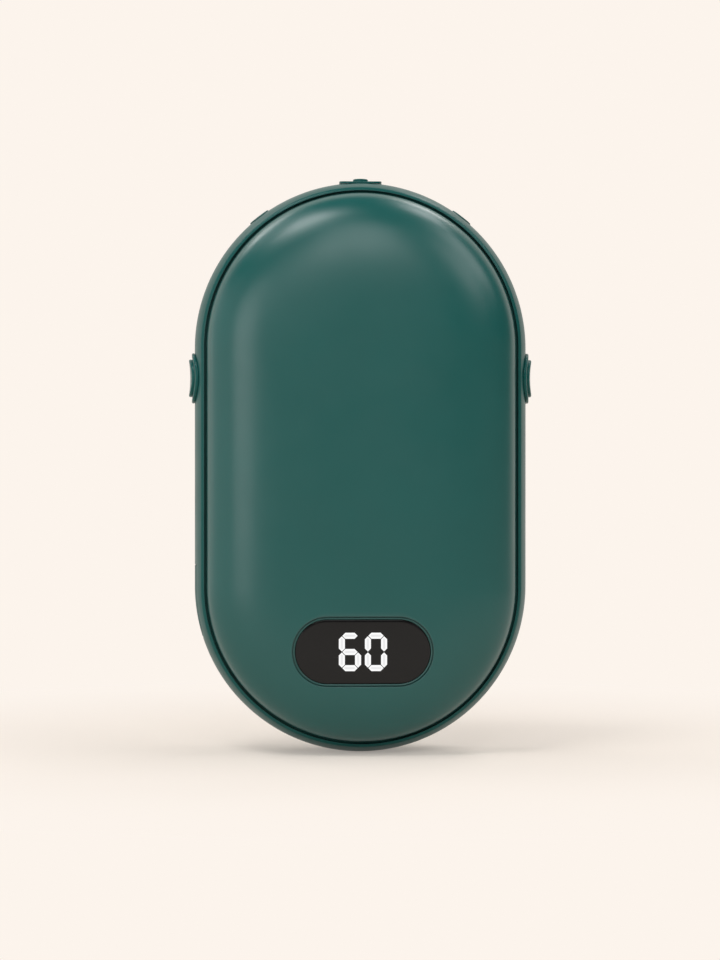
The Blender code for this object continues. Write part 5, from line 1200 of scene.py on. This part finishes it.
lens_guides = []
for angle in round_angles(192):
    out, up = math.cos(angle), math.sin(angle)
    shift = math.copysign(WINDOW_HALF, out) if abs(up) < 1 else 0.0
    lens_guides.append(Vector((shift + GUIDE_REACH * out, 0, WINDOW_LEVEL + GUIDE_REACH * up)))
lens_rows = [window_row(lens_guides, 0.0, LENS_BACK)]
for sunk, aside in quarter(LENS_ROUND, 4):
    lens_rows.append(window_row(
        lens_guides, -aside, lambda place, sunk=sunk: lens_depth(place) - sunk
    ))
for step in range(1, 15):
    lens_rows.append(window_row(
        lens_guides, -LENS_ROUND - (WINDOW_RADIUS - LENS_ROUND) * step / 14, lens_depth
    ))
lens_mesh = skin_mesh("lens", lens_rows)
smoked = moulding(
    "smoked_acrylic", LENS_BLACK, 0.13, grain=0.0008, bite=0.02, worn=0.0, shine=0.3
)
display_lens = make_piece("smoked_display_lens", lens_mesh, smoked)
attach(display_lens, "housing")
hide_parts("display_lens")


# Digits
# The two lit figures of the display: mitred bars of a white light guide, bright at their
# edges and a little greyer along the middle, seen flush with the lens.

DIGIT_PITCH = 0.00460
BAR_ACROSS = 0.00143
BAR_RISE = 0.002865
LIT_BARS = ("acdefg", "abcdef")
BAR_MIDDLE = (0.70, 0.70, 0.71, 1.0)
BAR_EDGE = (0.97, 0.97, 0.97, 1.0)
EDGE_SHARE = 0.75
SPECKLE_SIZE = 1 / 2200
SPECKLE = 0.16
digit_sizes = {
    "Bar Length": 0.00268, "Bar Width": 0.00106, "Thickness": 0.00008, "Proud": 0.00003,
    "End Radius": BODY_RADIUS, "End Level": LOWER_CENTRE, "Flat From": BODY_RADIUS,
    "Dome Run": BODY_RADIUS - SHELL_INSET, "Dome Base": BAND_EDGE,
    "Dome Rise": SHELL_FACE - BAND_EDGE,
    "Dome Power": DOME_POWER, "Sunk": LENS_SUNK,
}
bar_places = {
    "a": (0, 1, 0), "b": (1, 0.5, 1), "c": (1, -0.5, 1), "d": (0, -1, 0),
    "e": (-1, -0.5, 1), "f": (-1, 0.5, 1), "g": (0, 0, 0),
}
digit_points = []
uprights = []
for side, lit in zip((-0.5, 0.5), LIT_BARS):
    for bar in lit:
        across, rise, upright = bar_places[bar]
        digit_points.append((
            side * DIGIT_PITCH + across * BAR_ACROSS, 0, WINDOW_LEVEL + rise * BAR_RISE
        ))
        uprights.append(float(upright))

lit_guide, tree, shader, place = new_finish("lit_light_guide")
shader.inputs["Base Color"].default_value = (0.02, 0.02, 0.02, 1.0)
shader.inputs["Roughness"].default_value = 0.3
shader.inputs["Emission Strength"].default_value = 1.0
edge = add_node(tree, "ShaderNodeAttribute", attribute_name="bar_edge").outputs["Fac"]
uneven = figure(tree, "MULTIPLY_ADD", clouds(tree, place, SPECKLE_SIZE, 2.0), SPECKLE, edge)
ramp = add_node(tree, "ShaderNodeValToRGB", {"Fac": uneven})
middle, rim = ramp.color_ramp.elements
middle.color, rim.color, rim.position = BAR_MIDDLE, BAR_EDGE, EDGE_SHARE
tree.links.new(ramp.outputs["Color"], shader.inputs["Emission Color"])

tree, given, result = new_tree("digit_tree", digit_sizes)
blank = add_node(tree, "GeometryNodeMeshGrid", {
    "Size X": 4, "Size Y": 2, "Vertices X": 5, "Vertices Y": 3,
}).outputs["Mesh"]
corner = place_of(tree)
column = figure(tree, "ABSOLUTE", corner["X"])
beyond = figure(tree, "GREATER_THAN", column, 0.5)
tip = figure(tree, "GREATER_THAN", column, 1.5)
half_width = figure(tree, "MULTIPLY", given["Bar Width"], 0.5)
half_length = figure(tree, "MULTIPLY", given["Bar Length"], 0.5)
straight = figure(
    tree, "MULTIPLY", beyond, figure(tree, "SUBTRACT", half_length, half_width)
)
reach = figure(tree, "ADD", straight, figure(tree, "MULTIPLY", tip, half_width))
along = figure(tree, "MULTIPLY", figure(tree, "SIGN", corner["X"]), reach)
edge = figure(tree, "MULTIPLY", corner["Y"], half_width)
up = figure(tree, "MULTIPLY", edge, figure(tree, "SUBTRACT", 1.0, tip))
marked = add_node(tree, "GeometryNodeStoreNamedAttribute", {
    "Geometry": blank, "Name": "bar_edge",
    "Value": figure(tree, "MAXIMUM", figure(tree, "ABSOLUTE", corner["Y"]), tip),
}, data_type="FLOAT", domain="POINT").outputs["Geometry"]
shaped = add_node(tree, "GeometryNodeSetPosition", {
    "Geometry": marked, "Position": point_of(tree, along, 0.0, up),
}).outputs["Geometry"]
front = figure(tree, "MULTIPLY", given["Thickness"], -1.0)
thick = add_node(tree, "GeometryNodeExtrudeMesh", {
    "Mesh": shaped, "Offset": point_of(tree, 0.0, front, 0.0), "Offset Scale": 1.0,
    "Individual": False,
}).outputs["Mesh"]
floor = add_node(tree, "GeometryNodeFlipFaces", {"Mesh": shaped}).outputs["Mesh"]
bar = add_node(tree, "GeometryNodeJoinGeometry", {"Geometry": thick})
tree.links.new(floor, bar.inputs["Geometry"])
welded = add_node(tree, "GeometryNodeMergeByDistance", {
    "Geometry": bar.outputs["Geometry"], "Distance": WELD,
}).outputs["Geometry"]
upright = add_node(
    tree, "GeometryNodeInputNamedAttribute", {"Name": "upright"}, data_type="FLOAT"
).outputs["Attribute"]
turn = point_of(tree, 0.0, figure(tree, "MULTIPLY", upright, math.pi / 2), 0.0)
bars = add_node(tree, "GeometryNodeInstanceOnPoints", {
    "Points": given["Geometry"], "Instance": welded, "Rotation": turn,
}).outputs["Instances"]
real = add_node(tree, "GeometryNodeRealizeInstances", {"Geometry": bars}).outputs["Geometry"]
corner = place_of(tree)
fall = figure(tree, "SUBTRACT", corner["Z"], given["End Level"])
squares = [figure(tree, "MULTIPLY", side, side) for side in (corner["X"], fall)]
from_centre = figure(tree, "SQRT", figure(tree, "ADD", *squares))
inset = figure(tree, "SUBTRACT", given["End Radius"], from_centre)
rest = figure(tree, "SUBTRACT", given["Flat From"], inset)
share = figure(tree, "MAXIMUM", figure(tree, "DIVIDE", rest, given["Dome Run"]), 0.0)
dip = figure(tree, "POWER", share, given["Dome Power"])
fullness = figure(tree, "SQRT", figure(tree, "SUBTRACT", 1.0, dip))
rise = figure(tree, "MULTIPLY", given["Dome Rise"], fullness)
base = figure(tree, "SUBTRACT", given["Sunk"], given["Dome Base"])
back = figure(tree, "ADD", figure(tree, "SUBTRACT", base, rise), given["Thickness"])
proud = figure(tree, "SUBTRACT", back, given["Proud"])
raised = add_node(tree, "GeometryNodeSetPosition", {
    "Geometry": real, "Offset": point_of(tree, 0.0, proud, 0.0),
}).outputs["Geometry"]
end_tree(tree, result, raised, lit_guide)
digit_mesh = grown_mesh("digits", tree, digit_sizes, digit_points, {"upright": uprights})
digits = make_piece("display_digits", digit_mesh, lit_guide)
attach(digits, "housing")


# Side keys
# A round push key on each side, moulded in one with its ears, in a thin surround that
# clips into the band. Its face is dished along the body for a thumb.

KEY_GREEN = (0.0025, 0.072, 0.0655)
SURROUND_RADIUS = 0.00455
SURROUND_PROUD = 0.00053
SURROUND_EDGE = 0.00025
SURROUND_BORE = 0.0037
SURROUND_NECK = 0.00415
SURROUND_GAP = 0.0001
BORE_EDGE = 0.00012
FOLLOWS_ABOVE = -0.0005
KEY_RADIUS = 0.0034
KEY_PROUD = 0.0011
KEY_EDGE = 0.0003
KEY_DISH = 0.00027
KEY_SKIRT = -0.0027
EAR_SIZE = (0.0008, 0.0062, 0.0092)
EAR_DEPTH = 0.0027


def quarter_round(radius, top, rounding, steps=5):
    """Points over a rounded outer edge, from its top to its side."""
    return [(radius - aside, top - sunk) for aside, sunk in quarter(rounding, steps)]


def turned_rows(profile, place, outward, dish=0.0, radius=1.0, sides=96, wrap=False):
    """Loops of a turned piece whose upper points fall with the crown, dish and outline."""
    rows = []
    turn = Vector(outward).to_track_quat("Z", "Y")
    along = turn.inverted() @ Vector((0, 1, 0))
    for reach, height in profile:
        row = []
        for angle in round_angles(sides):
            local = Vector((reach * math.cos(angle), reach * math.sin(angle), height))
            across = local.dot(along)
            if height > FOLLOWS_ABOVE:
                length = math.sqrt(max(0.0, reach ** 2 - across ** 2))
                local.z -= belt_inset(across)
                local.z -= dish * (1 - (length / radius) ** 2)
                if wrap:
                    local.z -= BODY_RADIUS - math.sqrt(BODY_RADIUS ** 2 - length ** 2)
            row.append(Vector(place) + turn @ local)
        rows.append(row)
    return rows


key_paint = moulding("key_paint", KEY_GREEN, 0.28, worn=0.02, shine=0.15)
for side, name in ((-1, "left"), (1, "right")):
    place = (side * BODY_RADIUS, 0, SIDE_KEY_LEVEL)
    out = (side, 0, 0)
    profile = [(SURROUND_BORE, -BAND_WALL), (SURROUND_BORE, SURROUND_PROUD - BORE_EDGE)]
    profile += [
        (SURROUND_BORE + aside, SURROUND_PROUD - sunk)
        for sunk, aside in quarter(BORE_EDGE, 3)[1:]
    ]
    profile += quarter_round(SURROUND_RADIUS, SURROUND_PROUD, SURROUND_EDGE)
    profile += [
        (SURROUND_RADIUS, SURROUND_GAP), (SURROUND_NECK, SURROUND_GAP),
        (SURROUND_NECK, -BAND_WALL),
    ]
    ring = skin_mesh(f"{name}_bezel", turned_rows(profile, place, out), closed=True)
    bezel = make_piece(f"{name}_key_bezel", ring, key_paint)
    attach(bezel, "housing")
    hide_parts(f"{name}_key_surround")
    face = [((KEY_RADIUS - KEY_EDGE) * step / 12, KEY_PROUD) for step in range(13)]
    profile = face[:-1] + quarter_round(KEY_RADIUS, KEY_PROUD, KEY_EDGE)
    profile += [(KEY_RADIUS, KEY_SKIRT), (0.0, KEY_SKIRT)]
    cap = skin_mesh(f"{name}_cap", turned_rows(profile, place, out, KEY_DISH, KEY_RADIUS))
    ears = box_mesh((side * (BODY_RADIUS - EAR_DEPTH), 0, SIDE_KEY_LEVEL), EAR_SIZE)
    cap = carve(cap, [ears], [])
    key = make_piece(f"{name}_key_cap", cap, key_paint)
    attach(key, f"{name}_push")
    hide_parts(f"{name}_key")


# Power key
# A small round nub on top, dished for a fingertip, in an oval plate that clips into the
# band. The plate is level along the body and falls with the crown to front and back.

PLATE_HALF = 0.0016
PLATE_RADIUS = 0.00224
PLATE_PROUD = 0.00032
PLATE_EDGE = 0.00010
PLATE_LINE = (
    (0.0, -0.00008, 0.0), (0.00008, 0.0, 0.0), (0.00018, 0.0, 0.2), (0.00030, 0.0, 0.6),
)
POWER_BORE = 0.001675
POWER_NECK = 0.002175
POWER_RADIUS = 0.001375
POWER_PROUD = 0.00072
POWER_DISH = 0.00012
POWER_EDGE = 0.00025
POWER_EAR = 0.0029
POWER_EAR_TOP = -0.0023
POWER_EAR_END = -0.0031
BODY_TOP = 0.103


def plate_row(reach, height, oval, crowned):
    """A loop round the power plate: round at the bore, oval at the outside."""
    row = []
    for angle in round_angles(96, 0.5):
        out, deep = math.cos(angle), math.sin(angle)
        across = math.copysign(PLATE_HALF, out) * oval + reach * out
        depth = reach * deep
        level = BODY_TOP + height
        if crowned:
            level -= belt_inset(depth)
        if crowned == 2:
            level -= BODY_RADIUS - math.sqrt(BODY_RADIUS ** 2 - across ** 2)
        row.append(Vector((across, depth, level)))
    return row


plate_rows = [plate_row(POWER_BORE, -BAND_WALL, 0, 0)]
plate_rows += [
    plate_row(POWER_BORE + aside, PLATE_PROUD + above, oval, 1)
    for aside, above, oval in PLATE_LINE
]
plate_rows += [
    plate_row(reach, height, 1, 1)
    for reach, height in quarter_round(PLATE_RADIUS, PLATE_PROUD, PLATE_EDGE)
]
plate_rows += [
    plate_row(PLATE_RADIUS, SURROUND_GAP, 1, 2),
    plate_row(POWER_NECK, SURROUND_GAP, 0, 2),
    plate_row(POWER_NECK, -BAND_WALL, 0, 0),
]
plate = make_piece("power_plate", skin_mesh("plate", plate_rows, closed=True), key_paint)
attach(plate, "housing")
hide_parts("power_key_plate")

profile = []
for step in range(9):
    share = step / 9
    profile.append((
        (POWER_RADIUS - POWER_EDGE) * share, POWER_PROUD - POWER_DISH * (1 - share ** 2)
    ))
profile += quarter_round(POWER_RADIUS, POWER_PROUD, POWER_EDGE)
profile += [
    (POWER_RADIUS, POWER_EAR_TOP), (POWER_EAR, POWER_EAR_TOP),
    (POWER_EAR, POWER_EAR_END), (0.0, POWER_EAR_END),
]
rows = []
for reach, height in profile:
    row = []
    for angle in round_angles(96):
        row.append(Vector((
            reach * math.cos(angle), reach * math.sin(angle), BODY_TOP + height
        )))
    rows.append(row)
power = make_piece("power_key_nub", skin_mesh("nub", rows), key_paint)
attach(power, "power_push")
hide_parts("power_key")


# Screw plugs
# Soft round plugs pressed over the two frame screws on the shoulders, standing a little
# proud of the band and following its crown.

PLUG_GREEN = (0.0075, 0.068, 0.062)
PLUG_RADIUS = 0.00205
PLUG_PROUD = 0.00022
PLUG_EDGE = 0.00012
PLUG_HEAD = -0.0006
PLUG_STEM = 0.00125
PLUG_END = -0.0013

soft_rubber = moulding("soft_rubber", PLUG_GREEN, 0.58, grain=0.0002, worn=0.1)
for side, name in ((-1, "left"), (1, "right")):
    angle = side * SHOULDER_ANGLE
    profile = [(PLUG_RADIUS * share, PLUG_PROUD) for share in (0.0, 0.25, 0.5, 0.75)]
    profile += quarter_round(PLUG_RADIUS, PLUG_PROUD, PLUG_EDGE)
    profile += [
        (PLUG_RADIUS, PLUG_HEAD), (PLUG_STEM, PLUG_HEAD), (PLUG_STEM, PLUG_END), (0.0, PLUG_END)
    ]
    rows = turned_rows(profile, on_end(angle), outward_at(angle), wrap=True)
    plug = make_piece(f"{name}_plug_pad", skin_mesh("pad", rows), soft_rubber)
    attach(plug, "housing")
    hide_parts(f"{name}_screw_plug")


# Port flap
# A soft flap over the charging port, flush with the band and held at its upper end; the
# real flap bends just below that end, but here it stays one unbent piece. It carries a plug
# for the socket mouth. A nail lifts it at the notch below.

FLAP_EDGE = 0.00012
NOTCH_RADIUS = 0.0004
FLAP_PLUG_X = (-0.0290, -0.02659)
FLAP_PLUG_RADIUS = 0.0008
FLAP_PLUG_HALF = 0.0028


def flap_row(outline, share, sunk):
    """A loop of the flap, drawn in from its outline by a share and sunk below the face."""
    row = []
    for depth, level in outline:
        spine = min(max(level, FLAP_BOTTOM + FLAP_WIDTH / 2), FLAP_TOP - FLAP_WIDTH / 2)
        far = depth * (1 - share)
        high = level + (spine - level) * share
        row.append(Vector((belt_x(far, high) + sunk, far, high)))
    return row


outline = flap_outline(0.0, FLAP_TOP)
flap_rows = [flap_row(outline, share, FLAP_THICKNESS) for share in (1.0, 0.5, 0.0)]
start = FLAP_EDGE / (FLAP_WIDTH / 2)
for sunk, share in quarter(1.0, 4):
    flap_rows.append(flap_row(outline, start * share, FLAP_EDGE * sunk))
for step in range(1, 13):
    flap_rows.append(flap_row(outline, start + (1 - start) * step / 12, 0.0))
flap_mesh = skin_mesh("flap", flap_rows)
plug_mesh = skin_mesh("flap_plug", [
    slot_row(FLAP_PLUG_RADIUS, FLAP_PLUG_HALF, across, 48) for across in FLAP_PLUG_X
])
notch_x = belt_x(0.0, FLAP_BOTTOM) - NOTCH_RADIUS / 2
notch = rod((notch_x, 0, FLAP_BOTTOM), (0, 1, 0), NOTCH_RADIUS, -REACH, REACH, 48)
flap_mesh = carve(flap_mesh, [plug_mesh], [notch])
flap = make_piece("port_flap_cover", flap_mesh, soft_rubber)
lay_normals(flap.data, band_normal)
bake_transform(flap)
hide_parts("port_cover")
dress(soft_rubber, "port_cover_root")
